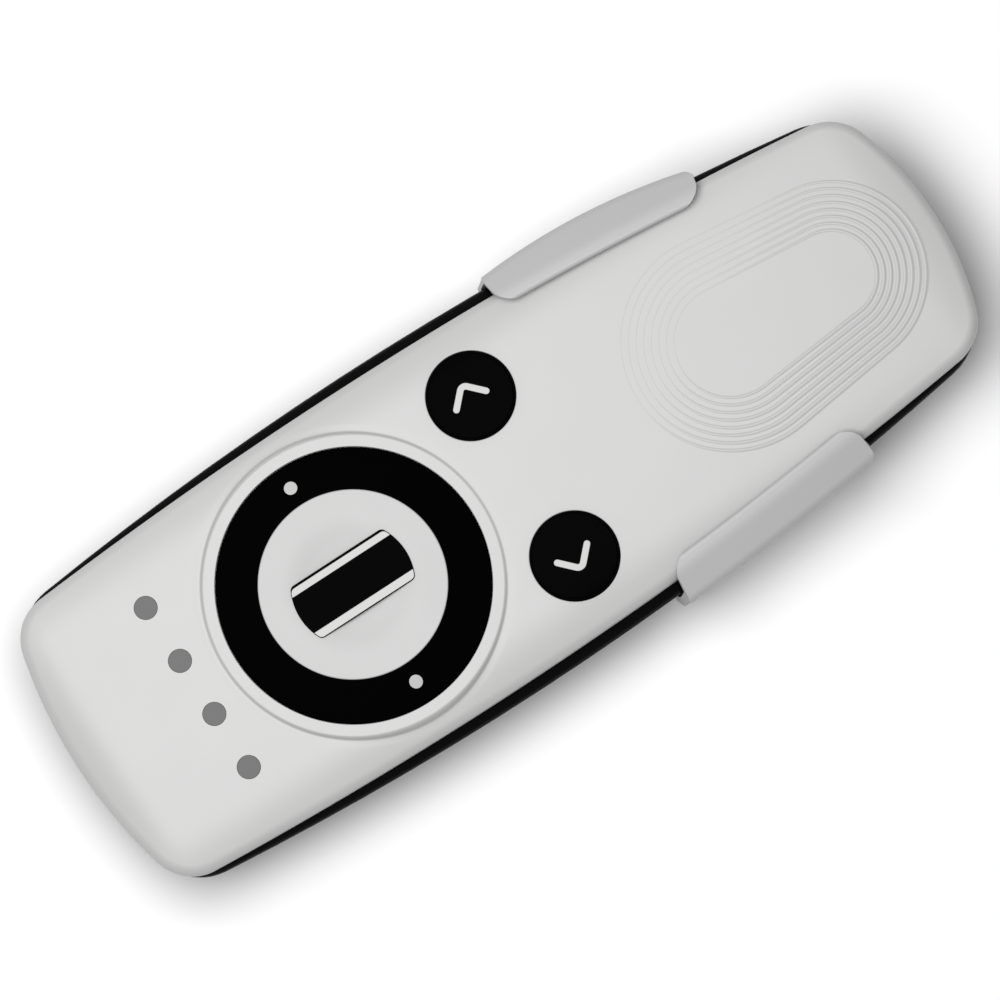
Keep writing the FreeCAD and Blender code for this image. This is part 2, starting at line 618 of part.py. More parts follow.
def encoder_shaft():
    """The turning shaft, with the flat that drives it inside the dial's hub."""
    bottom = ENCODER_TOP_Z - SHAFT_DEPTH + RUNNING_GAP
    top = CAP_Z - SHAFT_TOP_GAP
    body = post(DIAL_X, 0, SHAFT_RADIUS, bottom, top)
    flat = box(DIAL_X - SHAFT_RADIUS, DIAL_X + SHAFT_RADIUS, SHAFT_FLAT, SHAFT_RADIUS, HUB_Z, top)
    return body.cut(flat)


def dial_surface(lift):
    """The dial's outer form: an upright rim, then a cone up to the cap's edge."""
    return turned([(0, SKIRT_Z), (DIAL_RADIUS, SKIRT_Z), (DIAL_RADIUS, SKIRT_Z + DIAL_RIM + lift),
                   (DIAL_CAP_RADIUS, DIAL_TOP_Z + lift), (0, DIAL_TOP_Z + lift)], DIAL_X, 0)


def dot_places():
    return [(DIAL_X, s * INDEX_DOT_ORBIT) for s in (-1, 1)]


def dot_floor_z():
    slope = DIAL_RISE / (DIAL_RADIUS - DIAL_CAP_RADIUS)
    return SKIRT_Z + DIAL_RIM + (DIAL_RADIUS - INDEX_DOT_ORBIT) * slope - INDEX_DOT_DEPTH


def dial_skirt():
    """The black conical skirt, with the pocket for its cap and the keyed hub below."""
    web_z = CAP_Z - WEB_THICKNESS
    inner_r = DIAL_RADIUS - DIAL_WALL
    bore_r = SHAFT_RADIUS + SEAT_GAP
    body = dial_surface(0).cut(post(DIAL_X, 0, DIAL_CAP_RADIUS + SEAT_GAP, CAP_Z, DIAL_TOP_Z + MARGIN))
    body = body.cut(post(DIAL_X, 0, inner_r, SKIRT_Z - MARGIN, web_z))
    body = body.fuse(post(DIAL_X, 0, HUB_RADIUS, HUB_Z, CAP_Z))
    key = box(DIAL_X - bore_r, DIAL_X + bore_r, SHAFT_FLAT + SEAT_GAP, bore_r, HUB_Z, CAP_Z)
    body = body.cut(post(DIAL_X, 0, bore_r, HUB_Z, CAP_Z + MARGIN).cut(key))
    for x, y in dot_places():
        body = body.cut(post(x, y, INDEX_DOT_RADIUS + SEAT_GAP, dot_floor_z(), DIAL_TOP_Z))
    return body


def dial_dots():
    """Two round inlays that show how far the dial has turned."""
    dots = [post(x, y, INDEX_DOT_RADIUS, dot_floor_z(), DIAL_TOP_Z) for x, y in dot_places()]
    return Part.makeCompound([d.common(dial_surface(SEAT_GAP)) for d in dots])


def bar_plan(gap, z0, z1):
    """A slice across the finger dish along X, whose ends are arcs of the dish's rim."""
    half = BAR_WIDTH / 2 + gap
    disc = post(DIAL_X, 0, DISH_RADIUS + gap, z0, z1)
    return disc.common(box(-FAR, FAR, -half, half, z0, z1))


def dial_cap():
    """The white disc in the skirt, with a round finger dish and a pocket for the bar."""
    body = post(DIAL_X, 0, DIAL_CAP_RADIUS, CAP_Z, DIAL_TOP_Z)
    body = body.makeChamfer(CAP_EDGE_BEVEL, edges_above(body, DIAL_TOP_Z))
    ball_r = (DISH_RADIUS**2 + DISH_DEPTH**2) / (2 * DISH_DEPTH)
    ball = Part.makeSphere(ball_r, V(DIAL_X, 0, DIAL_TOP_Z + ball_r - DISH_DEPTH))
    body = body.cut(ball)
    return body.cut(bar_plan(SEAT_GAP, BAR_Z, DIAL_TOP_Z + MARGIN))


def trim_blanks(gap):
    """The two strips along the bar's edges, a little larger where they are its grooves."""
    top = DIAL_TOP_Z + BAR_PROUD
    outer = BAR_WIDTH / 2 - TRIM_EDGE
    disc = post(DIAL_X, 0, DISH_RADIUS - TRIM_EDGE + gap, top - TRIM_DEPTH - gap, top + gap)
    strips = []
    for side in (-1, 1):
        y0, y1 = sorted((side * (outer - TRIM_WIDTH - gap), side * (outer + gap)))
        strips.append(disc.common(box(-FAR, FAR, y0, y1, 0, FAR)))
    return strips


def dial_bar():
    """The black grip bar, flush with the cap, grooved for its two bright strips."""
    body = bar_plan(0, BAR_Z, DIAL_TOP_Z + BAR_PROUD)
    for strip in trim_blanks(SEAT_GAP):
        body = body.cut(strip)
    return body


def button_flange_z():
    """Top of a button's flange, just under the shell where the shell is lowest over it."""
    reach = BUTTON_Y + BUTTON_RADIUS + BUTTON_FLANGE_WIDTH
    slope = math.atan((reach - CROWN_SHOULDER_Y) / CROWN_SHOULDER_RADIUS)
    return crown_height(BUTTON_X, reach) - SHELL_WALL / math.cos(slope) - BUTTON_GAP


def plunger_top_z():
    return SWITCH_TOP_Z + SWITCH_PLUNGER_STAND


def chevron(side, gap, z0, z1):
    """Two round-ended strokes that meet in a point away from the remote's middle."""
    rise = CHEVRON_APEX - CHEVRON_FOOT
    length = math.hypot(CHEVRON_HALF_SPAN, rise)
    angle = math.degrees(math.atan2(rise, CHEVRON_HALF_SPAN))
    y = side * (BUTTON_Y + (CHEVRON_APEX + CHEVRON_FOOT) / 2)
    legs = []
    for hand in (-1, 1):
        x = BUTTON_X + hand * CHEVRON_HALF_SPAN / 2
        leg = stadium(length / 2, CHEVRON_STROKE / 2 + gap, x, y, z0, z1)
        leg.rotate(V(x, y, 0), V(0, 0, 1), -hand * side * angle)
        legs.append(leg)
    return legs[0].fuse(legs[1]).removeSplitter()


def button_cap(side):
    """A round button that follows the crown, with its flange, stem and chevron pocket."""
    y = side * BUTTON_Y
    flange_z = button_flange_z()
    top = crown_solid(-BUTTON_PROUD)
    body = post(BUTTON_X, y, BUTTON_RADIUS, flange_z - BUTTON_FLANGE_THICKNESS, DIAL_TOP_Z).common(top)
    rim = [e for e in edges_above(body, flange_z + BUTTON_FLANGE_THICKNESS) if over_circle(e, y)]
    body = body.makeChamfer(BUTTON_EDGE_BEVEL, rim)
    flange_r = BUTTON_RADIUS + BUTTON_FLANGE_WIDTH
    body = body.fuse(post(BUTTON_X, y, flange_r, flange_z - BUTTON_FLANGE_THICKNESS, flange_z))
    body = body.fuse(post(BUTTON_X, y, BUTTON_STEM_RADIUS, plunger_top_z(), flange_z))
    pocket = chevron(side, SEAT_GAP, flange_z, DIAL_TOP_Z)
    return body.cut(pocket.cut(crown_solid(CHEVRON_DEPTH - BUTTON_PROUD)))


def edges_above(shape, z):
    """The edges that lie wholly at a height or above it."""
    return [e for e in shape.Edges if e.BoundBox.ZMin > z - TOUCH]


def over_circle(edge, y):
    """Does the middle of an edge lie over the rim of the button at this Y?"""
    mid = edge.valueAt((edge.FirstParameter + edge.LastParameter) / 2)
    return abs(math.hypot(mid.x - BUTTON_X, mid.y - y) - BUTTON_RADIUS) < TOUCH


def button_chevron(side):
    """The white arrowhead set into a button."""
    body = chevron(side, 0, PARTING_Z, DIAL_TOP_Z).common(crown_solid(-BUTTON_PROUD - CHEVRON_PROUD))
    return body.cut(crown_solid(CHEVRON_DEPTH - BUTTON_PROUD))


def button_switch(side):
    """A switch case on the board, with the well that its plunger slides in."""
    y, half = side * BUTTON_Y, SWITCH_WIDTH / 2
    case = box(BUTTON_X - half, BUTTON_X + half, y - half, y + half, BOARD_TOP_Z, SWITCH_TOP_Z)
    case = case.makeChamfer(SWITCH_BEVEL, edges_above(case, SWITCH_TOP_Z))
    well = SWITCH_TOP_Z - SWITCH_PLUNGER_DEPTH - BUTTON_TRAVEL - SWITCH_WELL_SPARE
    return case.cut(post(BUTTON_X, y, SWITCH_PLUNGER_RADIUS + SWITCH_PLUNGER_GAP, well, SWITCH_TOP_Z))


def switch_plunger(side):
    low = SWITCH_TOP_Z - SWITCH_PLUNGER_DEPTH
    return post(BUTTON_X, side * BUTTON_Y, SWITCH_PLUNGER_RADIUS, low, plunger_top_z())


def light_pipe():
    """Four clear posts in the shell's holes, moulded together on one web."""
    places = light_places()
    low = BOARD_TOP_Z + LED_HEIGHT + LED_AIR
    web_top = crown_height(LIGHT_X, places[-1][1]) - LIGHT_WEB_DROP
    half = LIGHT_WEB_WIDTH / 2
    body = box(LIGHT_X - half, LIGHT_X + half, places[0][1] - half, places[-1][1] + half,
               web_top - LIGHT_WEB_THICKNESS, web_top)
    for x, y in places:
        body = body.fuse(post(x, y, LIGHT_RADIUS, low, DIAL_TOP_Z))
    return body.common(crown_under(LIGHT_PIPE_GAP))


def status_leds():
    half_x, half_y = LED_LENGTH / 2, LED_WIDTH / 2
    return Part.makeCompound([box(x - half_x, x + half_x, y - half_y, y + half_y, BOARD_TOP_Z,
                                  BOARD_TOP_Z + LED_HEIGHT) for x, y in light_places()])


def radio_module():
    """The radio's small board, with its screening can and a bare strip for the aerial."""
    half_x, half_y = RADIO_LENGTH / 2, RADIO_WIDTH / 2
    top = BOARD_TOP_Z + RADIO_THICKNESS
    board = box(RADIO_X - half_x, RADIO_X + half_x, -half_y, half_y, BOARD_TOP_Z, top)
    can = box(RADIO_X - half_x + RADIO_CAN_INSET, RADIO_X + half_x - RADIO_CAN_INSET,
              -half_y + RADIO_CAN_INSET, half_y - RADIO_AERIAL_WIDTH, top, top + RADIO_CAN_HEIGHT)
    return board.fuse(can)


def board_chips():
    """The controller, its crystal and the supply's capacitor."""
    half, low = CHIP_SIZE / 2, BOARD_TOP_Z
    chip = box(CHIP_X - half, CHIP_X + half, CHIP_Y - half, CHIP_Y + half, low, low + CHIP_HEIGHT)
    crystal = stadium((CRYSTAL_LENGTH - CRYSTAL_WIDTH) / 2, CRYSTAL_WIDTH / 2, CHIP_X, CRYSTAL_Y,
                      low, low + CRYSTAL_HEIGHT)
    can = post(CHIP_X, CAPACITOR_Y, CAPACITOR_RADIUS, low, low + CAPACITOR_HEIGHT)
    return Part.makeCompound([chip, crystal, can])


def along_x(r0, r1, x0, x1, y):
    """A round or tapered post along X between two places, through the cells' height."""
    step = 1 if x1 > x0 else -1
    start, way = V(x0, y, CELL_Z), V(step, 0, 0)
    if r0 == r1:
        return Part.makeCylinder(r0, abs(x1 - x0), start, way)
    return Part.makeCone(r0, r1, abs(x1 - x0), start, way)


def cell_rows():
    """Each cell's row and the end its positive nipple points to."""
    return ((CELL_SPACING / 2, 1), (-CELL_SPACING / 2, -1))


def battery_cells():
    cells = []
    for y, way in cell_rows():
        tip = CELL_X + way * (BAY_HALF_LENGTH - CONTACT_THICKNESS)
        case = along_x(CELL_RADIUS, CELL_RADIUS, tip - way * CELL_LENGTH, tip - way * CELL_NIPPLE_LENGTH, y)
        case = case.makeChamfer(CELL_BEVEL, [e for e in case.Edges if e.BoundBox.XLength < TOUCH])
        cells.append(case.fuse(along_x(CELL_NIPPLE_RADIUS, CELL_NIPPLE_RADIUS, tip - way, tip, y)))
    return Part.makeCompound(cells)


def battery_springs():
    """One conical spring at each cell's flat end, as its outer form."""
    springs = []
    for y, way in cell_rows():
        base = CELL_X - way * (BAY_HALF_LENGTH - CONTACT_THICKNESS)
        springs.append(along_x(SPRING_RADIUS, SPRING_TIP_RADIUS, base, base + way * SPRING_SPACE, y))
    return Part.makeCompound(springs)


def battery_contacts():
    """Two single plates at the left end and one that joins both cells at the right."""
    half = CONTACT_SIZE / 2
    low, high = CELL_Z - half, CELL_Z + half
    left, right = CELL_X - BAY_HALF_LENGTH, CELL_X + BAY_HALF_LENGTH
    plates = [box(left, left + CONTACT_THICKNESS, y - half, y + half, low, high) for y, _ in cell_rows()]
    across = CELL_SPACING / 2 + half
    plates.append(box(right - CONTACT_THICKNESS, right, -across, across, low, high))
    return Part.makeCompound(plates)


def housing_screws():
    """Pan-head screws driven from the back, one in each post."""
    seat, foot = SCREW_SEAT_Z, SCREW_SEAT_Z + SCREW_LENGTH
    profile = [(0, seat - SCREW_HEAD_HEIGHT), (SCREW_HEAD_RADIUS - SCREW_BEVEL, seat - SCREW_HEAD_HEIGHT),
               (SCREW_HEAD_RADIUS, seat), (SCREW_RADIUS, seat), (SCREW_RADIUS, foot), (0, foot)]
    return Part.makeCompound([turned(profile, x, y) for x, y in screw_places()])


def base_half_width(x):
    """Half the back housing's widest width at a place along it."""
    return BASE.half_width - BASE_SIDE_RADIUS + math.sqrt(BASE_SIDE_RADIUS**2 - (x - BASE_WIDEST_X) ** 2)


def lip_underside_z():
    """Clear of the crown under both ends of the lip."""
    ends = [crown_height(x, base_half_width(x) - ARM_LIP_WIDTH) for x in (ARM_LEFT_X, ARM_RIGHT_X)]
    return max(ends) + ARM_LIP_GAP


def holder_arm():
    """One hooked arm: it leaves the plate, follows the housing's side and folds over the shell."""
    hub = V(BASE_WIDEST_X, BASE.half_width - BASE_SIDE_RADIUS, 0)
    bow_r = BASE_SIDE_RADIUS - BASE_PROFILE_RADIUS

    def on_bow(extra, z):
        r = BASE_PROFILE_RADIUS + HOLDER_GAP + extra
        return bow_r + math.sqrt(r * r - (WIDEST_Z - z) ** 2)

    def spot(r, z):
        return V(hub.x, hub.y + r, z)

    under = lip_underside_z()
    over = under + ARM_LIP_THICKNESS
    root_r = BASE_SIDE_RADIUS - ARM_ROOT_REACH
    inner_r = BASE_SIDE_RADIUS + HOLDER_GAP
    outer_r = inner_r + ARM_WALL
    lip_r = BASE_SIDE_RADIUS - ARM_LIP_WIDTH
    steps = [i / BASE_SIDE_FACETS for i in range(BASE_SIDE_FACETS + 1)]
    outside = [spot(on_bow(ARM_WALL, WIDEST_Z * i), WIDEST_Z * i) for i in steps]
    inside = [spot(on_bow(0, WIDEST_Z - (WIDEST_Z - BACK_Z) * i), WIDEST_Z - (WIDEST_Z - BACK_Z) * i)
              for i in steps]
    slope = math.atan2(ARM_LIP_SLOPE, outer_r - lip_r)
    sweep = math.pi / 2 - slope
    setback = ARM_OUTER_ROUND * math.tan(sweep / 2)
    knee_z = over - ARM_LIP_SLOPE - setback
    knee_r = outer_r - ARM_OUTER_ROUND

    def on_knee(turn):
        return spot(knee_r + ARM_OUTER_ROUND * math.cos(turn), knee_z + ARM_OUTER_ROUND * math.sin(turn))

    ridge = Part.Arc(on_knee(0), on_knee(sweep / 2), on_knee(sweep)).toShape()
    rest = [on_knee(sweep), spot(lip_r, over), spot(lip_r, under), spot(inner_r, under)] + inside
    rest += [spot(on_bow(0, PLATE_THICKNESS), PLATE_THICKNESS), spot(root_r, PLATE_THICKNESS)]
    rest.append(spot(root_r, 0))
    first = [rest[-1]] + outside + [on_knee(0)]
    edges = [Part.makeLine(p, q) for p, q in zip(first, first[1:])] + [ridge]
    edges += [Part.makeLine(p, q) for p, q in zip(rest, rest[1:])]
    face = Part.Face(Part.Wire(edges))

    def angle(x):
        return math.degrees(math.asin((x - hub.x) / BASE_SIDE_RADIUS))

    start = ARM_LEFT_X - ARM_LEAN - MARGIN
    face.rotate(hub, V(0, 0, 1), -angle(start))
    body = face.revolve(hub, V(0, 0, 1), angle(start) - angle(ARM_RIGHT_X))
    lean = [V(ARM_LEFT_X - ARM_LEAN, -FAR, -MARGIN), V(ARM_LEFT_X, -FAR, over), V(ARM_LEFT_X, -FAR, FAR),
            V(-FAR, -FAR, FAR), V(-FAR, -FAR, -MARGIN), V(ARM_LEFT_X - ARM_LEAN, -FAR, -MARGIN)]
    body = body.cut(Part.Face(Part.makePolygon(lean)).extrude(V(0, 2 * FAR, 0)))
    bow_y = BASE.half_width + ARM_BOW_REACH - ARM_BOW_RADIUS
    body = body.common(post(ARM_BOW_X, bow_y, ARM_BOW_RADIUS, 0, FAR))

    def radius(p):
        return math.hypot(p.x - hub.x, p.y - hub.y)

    def middle(edge):
        return edge.valueAt((edge.FirstParameter + edge.LastParameter) / 2)

    corners = [e for e in body.Edges if abs(radius(middle(e)) - lip_r) < 5 * TOUCH
               and e.BoundBox.ZLength > ARM_LIP_THICKNESS / 2]
    return body.makeFillet(ARM_CORNER_ROUND, corners)


def wall_holder():
    """The holder: a long back plate with screw holes, and the two hooked arms."""
    middle = (PLATE_LEFT_X + PLATE_RIGHT_X) / 2
    half = (PLATE_RIGHT_X - PLATE_LEFT_X) / 2 - PLATE_HALF_WIDTH
    body = stadium(half, PLATE_HALF_WIDTH, middle, 0, 0, PLATE_THICKNESS)
    body = body.makeChamfer(PLATE_EDGE_BEVEL, edges_above(body, PLATE_THICKNESS))
    arm = holder_arm()
    body = body.fuse(arm).fuse(arm.mirror(V(0, 0, 0), V(0, 1, 0)))
    for x in WALL_SCREW_X:
        body = body.cut(post(x, 0, WALL_SCREW_RADIUS, -MARGIN, PLATE_THICKNESS))
        sink_z = PLATE_THICKNESS - WALL_SCREW_HEAD_DEPTH
        body = body.cut(cone(x, 0, WALL_SCREW_RADIUS, WALL_SCREW_HEAD_RADIUS, sink_z, PLATE_THICKNESS))
    return body


def build():
    """Write every sub-part."""
    os.makedirs("parts", exist_ok=True)
    save("wall_holder", wall_holder())
    save("front_shell", front_shell())
    save("back_housing", back_housing())
    save("battery_door", battery_door())
    save("main_board", main_board())
    save("rotary_encoder", rotary_encoder())
    save("encoder_shaft", encoder_shaft())
    save("dial_skirt", dial_skirt())
    save("dial_cap", dial_cap())
    save("dial_bar", dial_bar())
    save("dial_trims", Part.makeCompound(trim_blanks(0)))
    save("dial_dots", dial_dots())
    for name, side in (("up", 1), ("down", -1)):
        save(name + "_button", button_cap(side))
        save(name + "_chevron", button_chevron(side))
        save(name + "_plunger", switch_plunger(side))
    save("button_switches", Part.makeCompound([button_switch(-1), button_switch(1)]))
    save("light_pipe", light_pipe())
    save("status_leds", status_leds())
    save("radio_module", radio_module())
    save("board_chips", board_chips())
    save("battery_cells", battery_cells())
    save("battery_springs", battery_springs())
    save("battery_contacts", battery_contacts())
    save("housing_screws", housing_screws())


build()
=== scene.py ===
import logging
import math
from collections.abc import Callable, Sequence
from dataclasses import dataclass, field
from enum import Enum

import bmesh
import bpy
import numpy as np
from mathutils import Matrix, Vector
from mathutils.geometry import delaunay_2d_cdt
from mathutils.kdtree import KDTree


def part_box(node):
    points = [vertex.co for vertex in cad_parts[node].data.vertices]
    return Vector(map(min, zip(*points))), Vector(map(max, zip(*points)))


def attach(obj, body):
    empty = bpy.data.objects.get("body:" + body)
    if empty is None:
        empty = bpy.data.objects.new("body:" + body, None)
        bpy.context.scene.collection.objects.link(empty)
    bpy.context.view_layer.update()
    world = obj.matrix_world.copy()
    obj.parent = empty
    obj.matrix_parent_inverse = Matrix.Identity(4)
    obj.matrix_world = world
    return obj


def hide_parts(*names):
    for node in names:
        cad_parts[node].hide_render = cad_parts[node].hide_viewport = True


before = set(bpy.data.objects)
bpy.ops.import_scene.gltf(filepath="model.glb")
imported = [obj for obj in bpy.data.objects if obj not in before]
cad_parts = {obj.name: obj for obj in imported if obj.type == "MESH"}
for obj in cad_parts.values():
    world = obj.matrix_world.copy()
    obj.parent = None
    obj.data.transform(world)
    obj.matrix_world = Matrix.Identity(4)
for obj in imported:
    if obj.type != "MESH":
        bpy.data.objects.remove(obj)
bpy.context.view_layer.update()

LOG = logging.getLogger("remote_control")
MM = 0.001
AXIS = 0.0001  # the radius that stands for a point on a turned piece's axis

Ring = list[Vector]
Plan = Callable[[float], Ring]
Surface = Callable[[float, float], float]
Pair = tuple[float, float]


class Body(Enum):
    """The moving bodies that pieces ride on."""

    HOLDER = "holder"
    REMOTE = "remote"
    DIAL = "dial"
    UP_KEY = "up_key"
    DOWN_KEY = "down_key"
    DOOR = "door"


class Side(Enum):
    """The two long sides of the remote, as the sign of Y."""

    UP = 1
    DOWN = -1


class End(Enum):
    """The two ends of the remote, as the sign of X."""

    LIGHTS = -1
    NARROW = 1


# Meshes


def show(name: str, data: bpy.types.ID) -> bpy.types.Object:
    """Put data in the scene as an object.

    Args:
        name: its name.
        data: a mesh, curve, lamp or camera.

    Returns:
        The object.
    """
    thing = bpy.data.objects.new(name, data)
    bpy.context.scene.collection.objects.link(thing)
    return thing


def plain_mesh(name: str, points: Sequence[Sequence[float]],
               faces: Sequence[tuple[int, ...]] = ()) -> bpy.types.Mesh:
    """A mesh of points in metres.

    Args:
        name: its name.
        points: its points.
        faces: point numbers of each face.

    Returns:
        The mesh.
    """
    mesh = bpy.data.meshes.new(name)
    mesh.from_pydata([tuple(p) for p in points], [], faces)
    return mesh


def point_carrier(places: Sequence[Sequence[float]]) -> bpy.types.Object:
    """An object that holds bare points, in millimetres, for a geometry tree."""
    return show("places", plain_mesh("places", [(x * MM, y * MM, z * MM) for x, y, z in places]))


def drop(*things: bpy.types.Object) -> None:
    """Remove objects."""
    for thing in things:
        bpy.data.objects.remove(thing)


def smooth(mesh: bpy.types.Mesh, crease: float) -> None:
    """Shade a mesh smooth, up to a crease angle in degrees."""
    mesh.shade_smooth()
    mesh.set_sharp_from_angle(angle=math.radians(crease))


def weld(mesh: bpy.types.Mesh, name: str, crease: float) -> bpy.types.Object:
    """Close a mesh's seams, turn its faces outwards, smooth it and show it.

    Args:
        mesh: the mesh, in metres.
        name: the object's name.
        crease: the angle in degrees past which an edge stays sharp.

    Returns:
        The object.
    """
    work = bmesh.new()
    work.from_mesh(mesh)
    bmesh.ops.remove_doubles(work, verts=work.verts, dist=0.002 * MM)
    bmesh.ops.dissolve_degenerate(work, edges=work.edges, dist=0.0005 * MM)
    bmesh.ops.delete(work, geom=[v for v in work.verts if not v.link_faces], context="VERTS")
    bmesh.ops.recalc_face_normals(work, faces=work.faces)
    work.to_mesh(mesh)
    work.free()
    smooth(mesh, crease)
    return show(name, mesh)


class Skin:
    """Rows of points in millimetres and the faces between them."""

    def __init__(self) -> None:
        """Start with no points and no faces."""
        self.points: list[Vector] = []
        self.faces: list[tuple[int, ...]] = []

    def row(self, points: Sequence[Vector]) -> list[int]:
        """Add points, and return their numbers."""
        self.points += [Vector(p) for p in points]
        return list(range(len(self.points) - len(points), len(self.points)))

    def loft(self, rows: Sequence[Ring], closed: bool = True, around: bool = False) -> list[list[int]]:
        """Join rows of the same length in turn with four-sided faces.

        Args:
            rows: the rows of points.
            closed: whether each row runs round to its start.
            around: whether the last row joins the first.

        Returns:
            The point numbers of each row.
        """
        made = [self.row(points) for points in rows]
        for a, b in zip(made, made[1:] + (made[:1] if around else [])):
            for i in range(len(a) if closed else len(a) - 1):
                j = (i + 1) % len(a)
                self.faces.append((a[i], a[j], b[j], b[i]))
        return made

    def patch(self, outer: Ring, holes: Sequence[Ring], height: Surface, spacing: float) -> None:
        """Fill the plan inside an outline, round any holes.

        Args:
            outer: the outline.
            holes: the outlines of the holes.
            height: the height over a place.
            spacing: about how far apart the filling points lie.
        """
        flat: list[Vector] = []
        edges: list[tuple[int, int]] = []
        for loop in (outer, *holes):
            start = len(flat)
            flat += [Vector((p[0], p[1])) for p in loop]
            edges += [(start + i, start + (i + 1) % len(loop)) for i in range(len(loop))]
        tree = KDTree(len(flat))
        for i, p in enumerate(flat):
            tree.insert((p[0], p[1], 0.0), i)
        tree.balance()
        grid = lattice(outer, spacing)
        flat += [Vector(p) for p in grid[inside(outer, holes, grid)]
                 if tree.find((*p, 0.0))[2] > 0.7 * spacing]
        found, _, triangles, *_ = delaunay_2d_cdt(flat, edges, [], 0, 1e-6)
        centres = np.array([sum((found[i] for i in t), Vector((0, 0))) / len(t) for t in triangles])
        numbers = self.row([Vector((p[0], p[1], height(p[0], p[1]))) for p in found])
        self.faces += [tuple(numbers[i] for i in t)
                       for t, good in zip(triangles, inside(outer, holes, centres)) if good]

    def lathe(self, profile: Sequence[Pair], x: float, y: float, count: int, around: bool = True) -> "Skin":
        """Turn a profile of (radius, height) about an upright axis, in circles of so many points."""
        self.loft([lifted(circle(x, y, max(r, AXIS), count), z) for r, z in profile], True, around)
        return self

    def cushion(self, plan: Plan, top: Surface, bottom: Surface | float, edge: float, spacing: float,
                steps: int = 3) -> "Skin":
        """Add a closed slab with a rounded upper edge.

        Args:
            plan: gives the outline drawn in by an inset.
            top: the height of its top.
            bottom: the height of its underside.
            edge: radius of the rounded upper edge.
            spacing: about how far apart the points that fill its top lie.
            steps: flats in the rounded edge.

        Returns:
            This skin.
        """
        last = plan(edge + 0.04)
        made = self.loft([lifted(plan(0.0), bottom), *rounded(plan, top, edge, steps), lifted(last, top)])
        self.patch(last, [], top, spacing)
        if callable(bottom):
            self.patch(plan(0.0), [], bottom, spacing * 2)
        else:
            self.faces.append(tuple(made[0]))
        return self

    def solid(self, name: str, crease: float = 35.0) -> bpy.types.Object:
        """Weld the faces into an object, sharp past a crease angle in degrees."""
        return weld(plain_mesh(name, [p * MM for p in self.points], self.faces), name, crease)


def lattice(outer: Ring, spacing: float) -> np.ndarray:
    """Points of an even triangular grid over an outline's box, one a row.

    Args:
        outer: the outline.
        spacing: the distance between neighbours.

    Returns:
        The points.
    """
    xs, ys = [p[0] for p in outer], [p[1] for p in outer]
    along = np.arange(min(xs), max(xs), spacing)
    rows = np.arange(min(ys), max(ys), spacing * math.sqrt(3) / 2)
    return np.concatenate([np.stack([along + (i % 2) * spacing / 2, np.full(len(along), y)], 1)
                           for i, y in enumerate(rows)])


def inside(outer: Ring, holes: Sequence[Ring], places: np.ndarray) -> np.ndarray:
    """Tell which places lie inside an outline and outside its holes.

    Args:
        outer: the outline.
        holes: the outlines of the holes.
        places: an array of places, one a row.

    Returns:
        A truth value for each place.
    """
    px, py = places[:, 0], places[:, 1]
    found = np.zeros(len(places), bool)
    for loop in (outer, *holes):
        for a, b in zip(loop, loop[1:] + loop[:1]):
            if a[1] != b[1]:
                crosses = (a[1] > py) != (b[1] > py)
                found ^= crosses & (px < (b[0] - a[0]) * (py - a[1]) / (b[1] - a[1]) + a[0])
    return found


def circle(x: float, y: float, radius: float, count: int = 96) -> Ring:
    """Points round a circle in plan."""
    angles = [2 * math.pi / count * i for i in range(count)]
    return [Vector((x + radius * math.cos(a), y + radius * math.sin(a), 0)) for a in angles]


def sweep(centre: Sequence[float], radius: float, first: float, turn: float, steps: int) -> Ring:
    """Points along an arc in plan with both its ends, from its first angle through the angle it covers."""
    angles = [first + turn * i / steps for i in range(steps + 1)]
    return [Vector((centre[0] + radius * math.cos(a), centre[1] + radius * math.sin(a), 0)) for a in angles]


def arc(centre: Vector, start: Vector, end: Vector, steps: int) -> Ring:
    """Points along an arc between two places, without its last one."""
    one = start - centre
    return sweep(centre, one.length, math.atan2(one.y, one.x), -one.angle_signed(end - centre), steps)[:-1]


def lifted(ring: Sequence[Vector], height: Surface | float) -> Ring:
    """The same points at a height, or on a surface."""
    return [Vector((p[0], p[1], height(p[0], p[1]) if callable(height) else height)) for p in ring]


def rounded(plan: Plan, top: Surface, edge: float, steps: int) -> list[Ring]:
    """The rows of a rounded edge, from the wall up to the surface.

    Args:
        plan: gives the outline drawn in by an inset.
        top: the surface.
        edge: the edge's radius.
        steps: how many flats it has.

    Returns:
        The rows.
    """
    rows = []
    for step in range(steps + 1):
        turn = math.pi / 2 * step / steps
        fall = edge * (1 - math.sin(turn))
        rows.append(lifted(plan(edge * (1 - math.cos(turn))), lambda x, y: top(x, y) - fall))
    return rows


